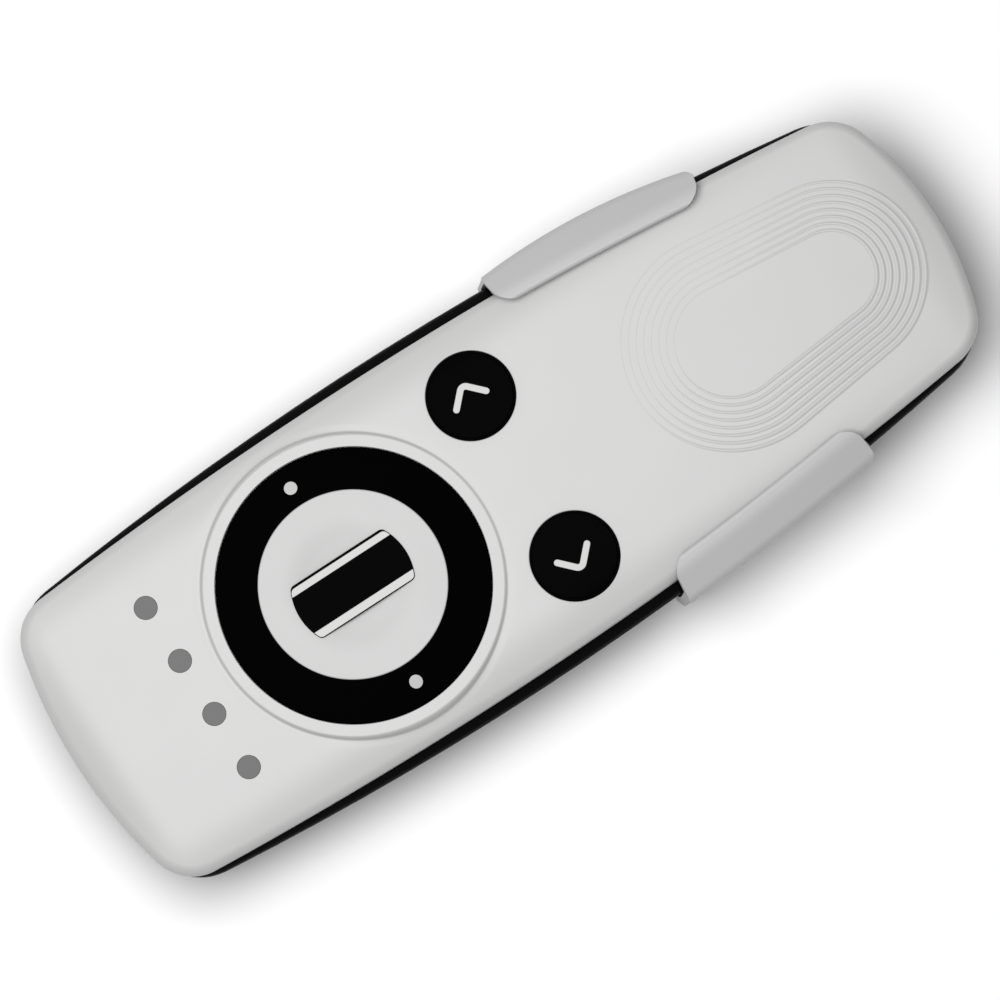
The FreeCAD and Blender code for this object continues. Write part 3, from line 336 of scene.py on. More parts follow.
def filleted(corners: Sequence[tuple[float, float, float]], steps: int = 6,
             closed: bool = True) -> list[Pair]:
    """Round the corners of a flat profile.

    Args:
        corners: (a, b, radius) of each corner.
        steps: flats in each rounding.
        closed: whether the profile runs round to its start.

    Returns:
        The points of the rounded profile.
    """
    made: list[Pair] = []
    spare = 0.03
    for i, (a, b, radius) in enumerate(corners):
        here = Vector((a, b))
        before = Vector(corners[i - 1][:2]) - here
        after = Vector(corners[(i + 1) % len(corners)][:2]) - here
        at_end = not closed and i in (0, len(corners) - 1)
        one, two = before.normalized(), after.normalized()
        half = math.acos(max(-1.0, min(1.0, one.dot(two)))) / 2
        if at_end or radius <= 0 or min(before.length, after.length) < 1e-6 or half > math.pi / 2 - 0.02:
            made.append((a, b))
            continue
        reach = radius / math.tan(half)
        centre = here + (one + two).normalized() * (radius / math.sin(half))
        start, end = here + one * reach - centre, here + two * reach - centre
        made.append(tuple(here + one * (reach + spare)))
        for step in range(steps + 1):
            turn = -start.angle_signed(end) * step / steps
            made.append((centre.x + start.x * math.cos(turn) - start.y * math.sin(turn),
                         centre.y + start.x * math.sin(turn) + start.y * math.cos(turn)))
        made.append(tuple(here + two * (reach + spare)))
    return made


# Node trees


class NodeSheet:
    """A short way to place nodes in a tree and join them."""

    def __init__(self, tree: bpy.types.NodeTree) -> None:
        """Work on one tree."""
        self.tree = tree

    def feed(self, socket: bpy.types.NodeSocket, value: object) -> None:
        """Join another socket to an input, or set the input's value.

        Args:
            socket: the input.
            value: a value or another socket.
        """
        if isinstance(value, bpy.types.NodeSocket):
            self.tree.links.new(value, socket)
        else:
            socket.default_value = value

    def add(self, kind: str, settings: dict[str, object] | None = None,
            **values: object) -> bpy.types.NodeOutputs:
        """Place a node.

        Args:
            kind: the node's type.
            settings: properties of the node.
            **values: inputs by name, with spaces as underscores, each a value or another socket.

        Returns:
            The node's outputs.
        """
        node = self.tree.nodes.new(kind)
        for key, value in (settings or {}).items():
            setattr(node, key, value)
        for key, value in values.items():
            name = key.replace("_", " ")
            self.feed(next(s for s in node.inputs if s.enabled and s.name == name), value)
        return node.outputs

    def math(self, operation: str, *values: object, kind: str = "ShaderNodeMath") -> bpy.types.NodeSocket:
        """The result of a Math or Vector Math node.

        Args:
            operation: what the node does.
            *values: its inputs, each a value or another socket.
            kind: the node's type.

        Returns:
            The result's socket.
        """
        node = self.tree.nodes.new(kind)
        node.operation = operation
        for socket, value in zip(node.inputs, values):
            self.feed(socket, value)
        return node.outputs[0]

    def mix(self, share: object, a: object, b: object) -> bpy.types.NodeSocket:
        """A colour part of the way from one to another."""
        outputs = self.add("ShaderNodeMix", {"data_type": "RGBA"}, Factor=share, A=a, B=b)
        return next(s for s in outputs if s.enabled)

    def place(self) -> bpy.types.NodeSocket:
        """The piece's own coordinates."""
        return self.add("ShaderNodeTexCoord")["Object"]

    def noise(self, scale: object, detail: float, roughness: float = 0.5) -> bpy.types.NodeSocket:
        """A noise over the piece's own coordinates."""
        return self.add("ShaderNodeTexNoise", Vector=self.place(), Scale=scale, Detail=detail,
                        Roughness=roughness)["Fac"]


class GroupSheet(NodeSheet):
    """A node group with named inputs and outputs."""

    KIND = "ShaderNodeTree"
    SOCKETS = ((float, "Float"), (tuple, "Color"), (bpy.types.Object, "Object"),
               (bpy.types.Material, "Material"))

    def __init__(self, name: str, **inputs: object) -> None:
        """Start a group.

        Args:
            name: the group's name.
            **inputs: the value of each input, by name with spaces as underscores.
        """
        super().__init__(bpy.data.node_groups.new(name, self.KIND))
        self.values: dict[str, object] = {}
        if self.KIND == "GeometryNodeTree":
            self.tree.interface.new_socket(name="Geometry", in_out="INPUT", socket_type="NodeSocketGeometry")
        for key, value in inputs.items():
            word = next(word for form, word in self.SOCKETS if isinstance(value, form))
            socket = self.tree.interface.new_socket(name=key.replace("_", " "), in_out="INPUT",
                                                    socket_type="NodeSocket" + word)
            self.values[socket.identifier] = value
            if word in ("Float", "Color"):
                socket.default_value = value
        self.given = self.tree.nodes.new("NodeGroupInput").outputs

    def give(self, **results: bpy.types.NodeSocket) -> bpy.types.NodeTree:
        """Name what the group puts out, and return its tree.

        Args:
            **results: what each output is joined to, by name.

        Returns:
            The tree.
        """
        out = self.tree.nodes.new("NodeGroupOutput")
        for key, value in results.items():
            self.tree.interface.new_socket(name=key, in_out="OUTPUT", socket_type=value.bl_idname)
            self.tree.links.new(value, out.inputs[key])
        return self.tree


class GeometrySheet(GroupSheet):
    """A geometry tree with named inputs, and the modifier that runs it."""

    KIND = "GeometryNodeTree"

    def shape(self, key: str) -> bpy.types.NodeSocket:
        """The geometry of the object that an input names."""
        return self.add("GeometryNodeObjectInfo", Object=self.given[key])["Geometry"]

    def on_points(self, key: str) -> bpy.types.NodeSocket:
        """The object that an input names, on each point of the carrier."""
        return self.add("GeometryNodeInstanceOnPoints", Points=self.given["Geometry"],
                        Instance=self.shape(key))["Instances"]

    def joined(self, *parts: bpy.types.NodeSocket) -> bpy.types.NodeSocket:
        """Several geometries as one.

        Args:
            *parts: the geometries.

        Returns:
            The joined geometry.
        """
        node = self.tree.nodes.new("GeometryNodeJoinGeometry")
        for part in parts:
            self.tree.links.new(part, node.inputs[0])
        return node.outputs[0]

    def run(self, geometry: bpy.types.NodeSocket, carrier: bpy.types.Object, name: str,
            crease: float = 35.0) -> bpy.types.Object:
        """Close the tree, run it on a carrier, and keep the result as a plain mesh.

        Args:
            geometry: what the tree makes.
            carrier: the object whose geometry the tree starts from, which is dropped.
            name: the new piece's name.
            crease: the angle in degrees past which an edge stays sharp.

        Returns:
            The piece.
        """
        real = self.add("GeometryNodeRealizeInstances", Geometry=geometry)["Geometry"]
        even = self.add("GeometryNodeSetShadeSmooth", Geometry=real, Shade_Smooth=True)["Geometry"]
        self.give(Geometry=self.add("GeometryNodeSetMaterial", Geometry=even,
                                    Material=self.given["Material"])["Geometry"])
        modifier = carrier.modifiers.new("Shape", "NODES")
        modifier.node_group = self.tree
        for key, value in self.values.items():
            modifier[key] = value
        bpy.context.view_layer.update()
        graph = bpy.context.evaluated_depsgraph_get()
        mesh = bpy.data.meshes.new_from_object(carrier.evaluated_get(graph))
        carrier.modifiers.remove(modifier)
        drop(carrier)
        return weld(mesh, name, crease)


def moulded_grain() -> bpy.types.NodeTree:
    """The fine spark-eroded grain of a moulding, with gloss that drifts a little over it.

    Returns:
        The shader group.
    """
    sheet = GroupSheet("Moulded grain", Grain_Scale=5000.0, Drift_Scale=120.0, Roughness=0.4,
                       Roughness_Spread=0.06)
    given = sheet.given
    fine = sheet.noise(given["Grain Scale"], 3.0, 0.55)
    drift = sheet.noise(given["Drift Scale"], 4.0)
    pits = sheet.add("ShaderNodeTexVoronoi", Vector=sheet.place(), Scale=given["Grain Scale"])["Distance"]
    high = sheet.math("ADD", sheet.math("MULTIPLY", fine, 0.7), sheet.math("MULTIPLY", pits, 0.3))
    rough = given["Roughness"]
    for cloud in (drift, fine):
        spread = sheet.math("MULTIPLY", sheet.math("SUBTRACT", cloud, 0.5), given["Roughness Spread"])
        rough = sheet.math("ADD", rough, spread)
    return sheet.give(Height=high, Roughness=rough)


def tone_drift() -> bpy.types.NodeTree:
    """A colour that wanders slightly in brightness over a piece, as pigment does.

    Returns:
        The shader group.
    """
    sheet = GroupSheet("Tone drift", Colour=(0.8, 0.8, 0.8, 1.0), Deep_Colour=(0.7, 0.7, 0.7, 1.0),
                       Scale=40.0, Amount=0.3)
    given = sheet.given
    share = sheet.math("MULTIPLY", sheet.noise(given["Scale"], 5.0, 0.6), given["Amount"])
    return sheet.give(Colour=sheet.mix(share, given["Colour"], given["Deep Colour"]))


def handling_wear() -> bpy.types.NodeTree:
    """Where fingers have polished a surface: soft patches broken up by finer scuffs.

    Returns:
        The shader group.
    """
    sheet = GroupSheet("Handling wear", Patch_Scale=70.0, Scuff_Scale=900.0, Cover=0.4)
    patch = sheet.math("MULTIPLY", sheet.noise(sheet.given["Patch Scale"], 2.0), 0.65)
    scuff = sheet.math("MULTIPLY", sheet.noise(sheet.given["Scuff Scale"], 6.0, 0.7), 0.35)
    bar = sheet.math("SUBTRACT", 0.8, sheet.math("MULTIPLY", sheet.given["Cover"], 0.5))
    edge = sheet.math("SUBTRACT", sheet.math("ADD", patch, scuff), bar)
    return sheet.give(Mask=sheet.add("ShaderNodeClamp", Value=sheet.math("MULTIPLY", edge, 4.0))["Result"])


# Finishes


class MaterialSheet(NodeSheet):
    """A new material's nodes, round its Principled shader."""

    def __init__(self, name: str) -> None:
        """Start a material.

        Args:
            name: the material's name.
        """
        self.made = bpy.data.materials.new(name)
        self.made.use_nodes = True
        super().__init__(self.made.node_tree)
        self.shader = self.tree.nodes["Principled BSDF"]

    def group(self, tree: bpy.types.NodeTree, **values: object) -> bpy.types.NodeOutputs:
        """Place a shared group, and return its outputs."""
        return self.add("ShaderNodeGroup", {"node_tree": tree}, **values)

    def surface(self, colour: object, rough: object, high: object, depth: float) -> bpy.types.Material:
        """Feed the shader.

        Args:
            colour: the base colour's socket.
            rough: the roughness's socket.
            high: the relief's socket.
            depth: the relief's depth in millimetres.

        Returns:
            The material.
        """
        bump = self.add("ShaderNodeBump", Strength=1.0, Distance=depth * MM, Height=high)["Normal"]
        for key, value in (("Base Color", colour), ("Roughness", rough), ("Normal", bump)):
            self.tree.links.new(value, self.shader.inputs[key])
        return self.made


@dataclass(frozen=True)
class Finish:
    """A moulded or metal finish made from the shared groups."""

    name: str
    colour: tuple[float, float, float]
    deep: tuple[float, float, float]
    roughness: float = 0.4
    spread: float = 0.06
    metallic: float = 0.0
    specular: float = 0.5
    grain: float = 5000.0
    grain_depth: float = 0.006
    drift: float = 40.0
    drift_amount: float = 0.4
    polish: float = 0.08

    def material(self, groups: dict[str, bpy.types.NodeTree]) -> bpy.types.Material:
        """Build the material from the shared groups.

        Args:
            groups: the shared groups by name.

        Returns:
            The material.
        """
        sheet = MaterialSheet(self.name)
        sheet.shader.inputs["Metallic"].default_value = self.metallic
        sheet.shader.inputs["Specular IOR Level"].default_value = self.specular
        tone = sheet.group(groups["tone"], Colour=(*self.colour, 1.0), Deep_Colour=(*self.deep, 1.0),
                           Scale=self.drift, Amount=self.drift_amount)["Colour"]
        grain = sheet.group(groups["grain"], Grain_Scale=self.grain, Roughness=self.roughness,
                            Roughness_Spread=self.spread)
        polished = sheet.math("MULTIPLY", sheet.group(groups["wear"])["Mask"], self.polish)
        rough = sheet.math("SUBTRACT", grain["Roughness"], polished)
        return sheet.surface(tone, rough, grain["Height"], self.grain_depth)


def deep_black(name: str, grain: float = 7000.0, polish: float = 0.08) -> Finish:
    """The matt black of the dial, its bar and the buttons."""
    return Finish(name, (0.0006,) * 3, (0.0004,) * 3, 0.5, 0.05, specular=0.01, grain=grain,
                  grain_depth=0.002, polish=polish)


class Finishes:
    """Every finish on the remote and its holder, by the record's slot names."""

    TABLE = (
        Finish("shell", (0.455, 0.455, 0.452), (0.43, 0.43, 0.427), 0.42, 0.05, grain=6500.0,
               grain_depth=0.003, drift=25.0, drift_amount=0.5, specular=0.45),
        Finish("holder", (0.415,) * 3, (0.395,) * 3, 0.46, 0.05, grain=6000.0, grain_depth=0.003, drift=30.0,
               drift_amount=0.5, specular=0.4),
        Finish("housing", (0.002,) * 3, (0.0013,) * 3, 0.5, 0.1, grain=3500.0, grain_depth=0.02,
               specular=0.05),
        Finish("encoder_case", (0.50, 0.51, 0.52), (0.34, 0.35, 0.36), 0.35, 0.1, 1.0, grain=2500.0),
        Finish("shaft_metal", (0.62, 0.60, 0.55), (0.45, 0.43, 0.38), 0.25, 0.08, 1.0, grain=3000.0),
        deep_black("dial_black", polish=0.05),
        Finish("dial_white", (0.42, 0.42, 0.418), (0.40, 0.40, 0.398), 0.45, 0.05, grain=7000.0,
               grain_depth=0.002, drift=60.0),
        deep_black("bar_black", 6000.0),
        Finish("bright_trim", (0.46, 0.46, 0.455), (0.42, 0.42, 0.415), 0.45, grain_depth=0.002, drift=150.0),
        deep_black("button_black"),
        Finish("plunger", (0.30, 0.05, 0.03), (0.22, 0.03, 0.02), 0.5),
        Finish("switch_case", (0.03, 0.03, 0.035), (0.015, 0.015, 0.018), 0.45, grain_depth=0.01),
        Finish("light_pipe", (0.150, 0.153, 0.150), (0.135, 0.138, 0.135), 0.6, 0.04, grain=4000.0,
               grain_depth=0.001, drift=300.0, specular=0.05),
        Finish("led_case", (0.85, 0.83, 0.75), (0.7, 0.68, 0.55)),
        Finish("radio_can", (0.66, 0.66, 0.64), (0.5, 0.5, 0.49), 0.3, 0.12, 1.0, grain=1800.0),
        Finish("chip_case", (0.02, 0.02, 0.021), (0.012, 0.012, 0.013), 0.55, 0.1, grain=9000.0,
               grain_depth=0.012),
        Finish("spring_steel", (0.60,) * 3, (0.42, 0.42, 0.43), 0.22, 0.1, 1.0, grain=2500.0),
        Finish("contact_metal", (0.68, 0.66, 0.60), (0.5, 0.48, 0.42), 0.25, 0.12, 1.0, grain=2200.0),
        Finish("screw_steel", (0.30, 0.30, 0.31), (0.18, 0.18, 0.19), 0.3, 0.12, 1.0, grain=2500.0),
    )

    def __init__(self) -> None:
        """Build the shared groups and every material."""
        self.groups = {"grain": moulded_grain(), "tone": tone_drift(), "wear": handling_wear()}
        self.made = {finish.name: finish.material(self.groups) for finish in self.TABLE}
        self.made["circuit_board"] = self.circuit_board()
        self.made["cell_jacket"] = self.cell_jacket()

    def circuit_board(self) -> bpy.types.Material:
        """Green solder resist with copper tracks and tinned pads showing through.

        Returns:
            The material.
        """
        sheet = MaterialSheet("circuit_board")
        tracks = sheet.add("ShaderNodeTexBrick", Vector=sheet.place(), Scale=160.0, Color1=(0, 0, 0, 1),
                           Color2=(0, 0, 0, 1), Mortar=(1, 1, 1, 1), Mortar_Size=0.035, Brick_Width=0.9,
                           Row_Height=0.25)["Fac"]
        pads = sheet.add("ShaderNodeTexVoronoi", Vector=sheet.place(), Scale=420.0)["Distance"]
        base = sheet.mix(tracks, (0.006, 0.085, 0.030, 1), (0.020, 0.17, 0.055, 1))
        full = sheet.mix(sheet.math("LESS_THAN", pads, 0.16), base, (0.55, 0.52, 0.40, 1))
        grain = sheet.group(self.groups["grain"], Grain_Scale=3000.0, Roughness=0.28, Roughness_Spread=0.08)
        fine = sheet.math("MULTIPLY", grain["Height"], 0.2)
        high = sheet.math("ADD", sheet.math("MULTIPLY", tracks, 0.5), fine)
        return sheet.surface(full, grain["Roughness"], high, 0.03)

    def cell_jacket(self) -> bpy.types.Material:
        """A cell's printed sleeve: dark with a light band, both generic.

        Returns:
            The material.
        """
        sheet = MaterialSheet("cell_jacket")
        along = sheet.add("ShaderNodeSeparateXYZ", Vector=sheet.place())["X"]
        band = sheet.math("GREATER_THAN", along, 0.047)
        tone = sheet.mix(band, (0.015, 0.017, 0.02, 1), (0.42, 0.43, 0.44, 1))
        grain = sheet.group(self.groups["grain"], Grain_Scale=1500.0, Roughness=0.25, Roughness_Spread=0.1)
        return sheet.surface(tone, grain["Roughness"], grain["Height"], 0.005)

    def settle(self, thing: bpy.types.Object, body: Body, slot: str, *nodes: str) -> None:
        """Dress a finished piece, let it ride on its body, and hide the CAD nodes it stands for.

        Args:
            thing: the piece.
            body: the body it rides on.
            slot: its finish's slot in the record.
            *nodes: the CAD nodes it replaces.
        """
        thing.data.materials.clear()
        thing.data.materials.append(self.made[slot])
        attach(thing, body.value)
        if nodes:
            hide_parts(*nodes)
        LOG.info("%-22s %6d faces, rides on %s", thing.name, len(thing.data.polygons), body.value)

    def dress_node(self, node: str, slot: str) -> None:
        """Give a carried-over CAD node a finish, leaving its mesh alone.

        Args:
            node: the CAD node.
            slot: its finish's slot in the record.
        """
        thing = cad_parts[node]
        if not thing.material_slots:
            thing.data.materials.append(self.made[slot])
        for place in thing.material_slots:
            place.material = self.made[slot]
        LOG.info("%-22s CAD node, finish %s", node, slot)


# Forms shared by the pieces


@dataclass(frozen=True)
class Outline:
    """A plan shape of two side arcs, two end arcs and four rounded corners, in millimetres."""

    half_width: float
    widest_x: float
    side_radius: float
    end_inset: float
    corner_radii: Pair
    length: float = 150.0
    end_radii: Pair = (75.0, 48.4)

    def side_centre(self) -> Vector:
        """Centre of the upper side's arc."""
        return Vector((self.widest_x, self.half_width - self.side_radius))

    def end_circle(self, inset: float, end: End) -> tuple[Vector, float]:
        """Centre and radius of an end's arc, drawn in by an inset."""
        radius = self.end_radii[end is End.NARROW] - inset - self.end_inset
        return Vector((end.value * (self.length / 2 - self.end_inset - inset - radius), 0)), radius

    def corner(self, inset: float, end: End) -> tuple[Vector, Vector, Vector]:
        """A rounded corner in the upper half.

        Args:
            inset: how far the outline is drawn in.
            end: which end of the remote.

        Returns:
            Its centre, the point on the side arc and the point on the end arc.
        """
        side_c, (end_c, end_r) = self.side_centre(), self.end_circle(inset, end)
        nominal = self.corner_radii[end is End.NARROW]
        radius = max(nominal - inset, nominal / 4)
        a, b = self.side_radius - inset - radius, end_r - radius
        reach = end_c - side_c
        along = (a * a - b * b + reach.length_squared) / (2 * reach.length)
        axis = reach.normalized()
        normal = Vector((-axis.y, axis.x)) * -end.value
        centre = side_c + axis * along + normal * math.sqrt(a * a - along * along)
        on_side, on_end = (centre + (centre - c).normalized() * radius for c in (side_c, end_c))
        return centre, on_side, on_end

    def ring(self, inset: float) -> Ring:
        """The outline drawn in by an inset, counter-clockwise, always with the same number of points.

        Args:
            inset: how far it is drawn in.

        Returns:
            The points.
        """
        (left_c, left_r), (right_c, right_r) = (self.end_circle(inset, end) for end in End)
        (lc, ls, le), (rc, rs, re) = (self.corner(inset, end) for end in End)
        left_tip = Vector((left_c.x - left_r, 0))
        half = [*arc(right_c, Vector((right_c.x + right_r, 0)), re, 14), *arc(rc, re, rs, 14),
                *arc(self.side_centre(), rs, ls, 110), *arc(lc, ls, le, 14), *arc(left_c, le, left_tip, 16)]
        return [*half, left_tip.to_3d(), *(Vector((p[0], -p[1], 0)) for p in half[:0:-1])]

    def half_at(self, x: float) -> float:
        """Half the width at a place along the remote, away from the corners."""
        return self.half_width - self.side_radius + math.sqrt(self.side_radius**2 - (x - self.widest_x) ** 2)


@dataclass(frozen=True)
class Crown:
    """The front's curved surface: gentle arcs, a tighter shoulder along each side, rolled ends."""

    top: float = 20.55
    x: float = -14.0
    cross_radius: float = 400.0
    shoulder_y: float = 17.5
    shoulder_radius: float = 20.0
    length_radius: float = 2600.0
    rolls: tuple[Pair, Pair] = ((68.2, 11.5), (67.0, 30.0))

    def height(self, x: float, y: float) -> float:
        """Height of the surface over a place, in millimetres.

        Args:
            x: place along the remote.
            y: place across it.

        Returns:
            The height.
        """
        turn = math.asin(self.shoulder_y / self.cross_radius)
        y = abs(y)
        if y <= self.shoulder_y:
            across = self.cross_radius - math.sqrt(self.cross_radius**2 - y * y)
        else:
            sine = min(math.sin(turn) + (y - self.shoulder_y) / self.shoulder_radius, 0.999)
            across = self.cross_radius * (1 - math.cos(turn))
            across += self.shoulder_radius * (math.cos(turn) - math.sqrt(1 - sine * sine))
        roll_x, roll_radius = self.rolls[x >= 0]
        if abs(x) > roll_x:
            lean = math.asin((math.copysign(roll_x, x) - self.x) / self.length_radius)
            reach = self.length_radius - roll_radius
            centre_x = self.x + math.sin(lean) * reach
            centre_z = self.top - self.length_radius + math.cos(lean) * reach
            return centre_z + math.sqrt(max((roll_radius - across) ** 2 - (x - centre_x) ** 2, 0.0))
        bent = self.length_radius - across
        return self.top - self.length_radius + math.sqrt(bent ** 2 - (x - self.x) ** 2)


@dataclass(frozen=True)
class Frame:
    """Places and heights that several pieces share, in millimetres."""

    crown: Crown = Crown()
    shell: Outline = Outline(25.66, -16.0, 665.0, 0.0, (7.3, 7.8))
    base: Outline = Outline(27.4, -12.1, 497.0, 0.4, (8.5, 9.8))
    back_z: float = 2.75
    parting_z: float = 15.35
    widest_z: float = 13.85
    side_bulge: float = 15.0
    plateau_z: float = 20.7
    skirt_z: float = 19.9
    well_floor_z: float = 19.65
    well_under_z: float = 18.0
    dial_top_z: float = 23.05
    cap_z: float = 21.15
    hub_z: float = 17.6
    dial_x: float = -26.37
    button_x: float = 3.195
    button_y: float = 14.07
    light_x: float = -53.8
    light_pitch: float = 9.31
    screw_seat_z: float = 6.75
    screws: tuple[Pair, ...] = ((-63.5, 16.5), (14.205, 18.6), (67.5, 6.5))

    def light_places(self) -> list[Pair]:
        """Where the four status lights stand."""
        return [(self.light_x, share * self.light_pitch) for share in (-1.5, -0.5, 0.5, 1.5)]

    def screw_places(self) -> list[Pair]:
        """Where the six housing screws stand."""
        return [(x, s.value * y) for x, y in self.screws for s in Side]


@dataclass
class Piece:
    """What every sub-assembly is given: the shared sizes and the finishes."""

    place: Frame
    finishes: Finishes


# The remote's two halves


@dataclass
class FrontShell(Piece):
    """The off-white moulded front: crowned, with the dial's raised seat, and open for keys and lights.

    The tongue's section is given as insets from the outline and heights over the parting line, and the
    seat's rings as radii, close together where its flank and groove bend most.
    """

    wall: float = 1.6
    edge: float = 1.3
    parting_bevel: float = 0.12
    well_radius: float = 20.47
    plateau_radius: float = 22.4
    flank_slope: float = 3.0
    flank_round: float = 0.3
    groove_depth: float = 0.09
    groove_width: float = 0.4
    groove_tail: float = 0.75
    groove_shift: float = 0.25
    blend: float = 0.3
    seat_reach: float = 24.0
    well_round: float = 0.08
    button_round: float = 0.12
    light_round: float = 0.05
    button_hole: float = 6.7
    light_hole: float = 1.76
    hub_hole: float = 5.1
    well_ledge: float = 17.0
    post_radius: float = 2.9
    post_bore: float = 1.13
    post_foot_z: float = 9.35
    tongue_section: tuple[Pair, ...] = (
        (1.4, 0.01), (1.4, 1.0), (3.0, 1.0), (3.0, -1.2), (2.2, -1.2), (2.2, 0.01))
    seat_rings: tuple[float, ...] = (21.1, 21.6, 21.9, *(22.05 + 0.08 * i for i in range(19)), 23.65, 23.8)
    grid: float = 1.3
    inner_grid: float = 3.0

    def top(self, x: float, y: float) -> float:
        """Height of the outer surface: the crown, or the dial's seat where that is higher.

        Args:
            x: place along the remote.
            y: place across it.

        Returns:
            The height.
        """
        crown, flat = self.place.crown.height(x, y), self.place.plateau_z
        reach = math.hypot(x - self.place.dial_x, y)
        if reach > self.seat_reach + 0.5:
            return crown
        foot = self.plateau_radius + max(flat - crown, 0.0) / self.flank_slope + self.groove_shift
        width = self.groove_tail if reach > foot else self.groove_width
        crown -= self.groove_depth * math.exp(-((reach - foot) / width) ** 2)
        out, soft = reach - self.plateau_radius, self.flank_round
        fall = 0.0
        if out > soft:
            fall = self.flank_slope * out
        elif out > -soft:
            fall = self.flank_slope * (out + soft) ** 2 / (4 * soft)
        near = max(self.blend - abs(flat - fall - crown), 0.0) / self.blend
        return max(flat - fall, crown) + near * near * self.blend / 4

    def under(self, x: float, y: float) -> float:
        """Height of the inner surface."""
        return self.place.crown.height(x, y) - self.wall

    def rim(self, skin: Skin, x: float, y: float, radius: float, size: float, low: Surface | float,
            count: int) -> tuple[Ring, Ring]:
        """The rounded edge and wall of a round opening.

        Args:
            skin: where the faces go.
            x: the opening's middle.
            y: the opening's middle.
            radius: its radius.
            size: radius of its rounded edge.
            low: height of the wall's foot.
            count: points in each circle.

        Returns:
            The ring on the outer surface and the ring at the foot.
        """
        rows = [lifted(circle(x, y, radius + size + 0.06, count), self.top),
                *rounded(lambda inset: circle(x, y, radius + inset, count), self.top, size, 3)[::-1],
                lifted(circle(x, y, radius, count), low)]
        skin.loft(rows)
        return rows[0], rows[-1]

    def build(self) -> Skin:
        """Model the shell with its well, openings, tongue and screw posts.

        Returns:
            The skin.
        """
        place, skin = self.place, Skin()
        outline, bevel = place.shell.ring, self.parting_bevel
        inner = outline(self.wall)
        rows = [lifted(outline(bevel), place.parting_z), lifted(outline(0.0), place.parting_z + bevel),
                *rounded(outline, self.top, self.edge, 9), lifted(outline(self.edge + 0.1), self.top)]
        skin.loft(rows)
        skin.loft([rows[0], lifted(inner, place.parting_z), lifted(inner, self.under)])
        openings = [(place.dial_x, 0.0, self.well_radius, self.well_round, place.well_floor_z, 240)]
        openings += [(place.button_x, s.value * place.button_y, self.button_hole, self.button_round,
                      self.under, 96) for s in Side]
        openings += [(x, y, self.light_hole, self.light_round, self.under, 48)
                     for x, y in place.light_places()]
        outer_holes, inner_holes = map(list, zip(*(self.rim(skin, *opening) for opening in openings)))
        inner_holes[0] = self.well(skin, inner_holes[0])
        outer_holes[0] = self.seat(skin, outer_holes[0])
        skin.patch(rows[-1], outer_holes, self.top, self.grid)
        skin.patch(inner, inner_holes, self.under, self.inner_grid)
        self.tongue(skin)
        for x, y in place.screw_places():
            foot, top = self.post_foot_z, self.under(x, y) + self.wall / 2
            skin.lathe([(self.post_bore, foot), (self.post_radius, foot), (self.post_radius, top),
                        (self.post_bore, top)], x, y, 40)
        return skin

    def seat(self, skin: Skin, brink: Ring) -> Ring:
        """The dial's flat seat and the flank and groove round it, in close rings.

        Args:
            skin: where the faces go.
            brink: the ring round the well's rounded edge.

        Returns:
            The outermost ring, on the crown.
        """
        radii = (*self.seat_rings, self.seat_reach)
        rows = [brink] + [lifted(circle(self.place.dial_x, 0, r, len(brink)), self.top) for r in radii]
        skin.loft(rows)
        return rows[-1]

    def well(self, skin: Skin, floor_edge: Ring) -> Ring:
        """The floor of the dial's well, with the hole for its hub.

        Args:
            skin: where the faces go.
            floor_edge: the ring where the well's wall meets its floor.

        Returns:
            The ring where the well's underside meets the shell's inner surface.
        """
        low, outside = self.place.well_under_z, self.well_radius + self.wall
        steps = ((self.hub_hole, self.place.well_floor_z), (self.hub_hole, low), (self.well_ledge, low),
                 (outside, lambda x, y: min(low, self.under(x, y))), (outside, self.under))
        rows = [floor_edge] + [lifted(circle(self.place.dial_x, 0, r, len(floor_edge)), z) for r, z in steps]
        skin.loft(rows)
        return rows[-1]

    def tongue(self, skin: Skin) -> None:
        """The tongue all round the lower edge, which plugs into the tub."""
        outline, base = self.place.shell.ring, self.place.parting_z
        skin.loft([lifted(outline(inset), base + z) for inset, z in self.tongue_section], True, True)

    def make(self) -> bpy.types.Object:
        """Build, dress and settle the shell.

        Returns:
            The shell.
        """
        thing = self.build().solid("FrontShell", 38.0)
        self.finishes.settle(thing, Body.REMOTE, "shell", "front_shell")
        return thing


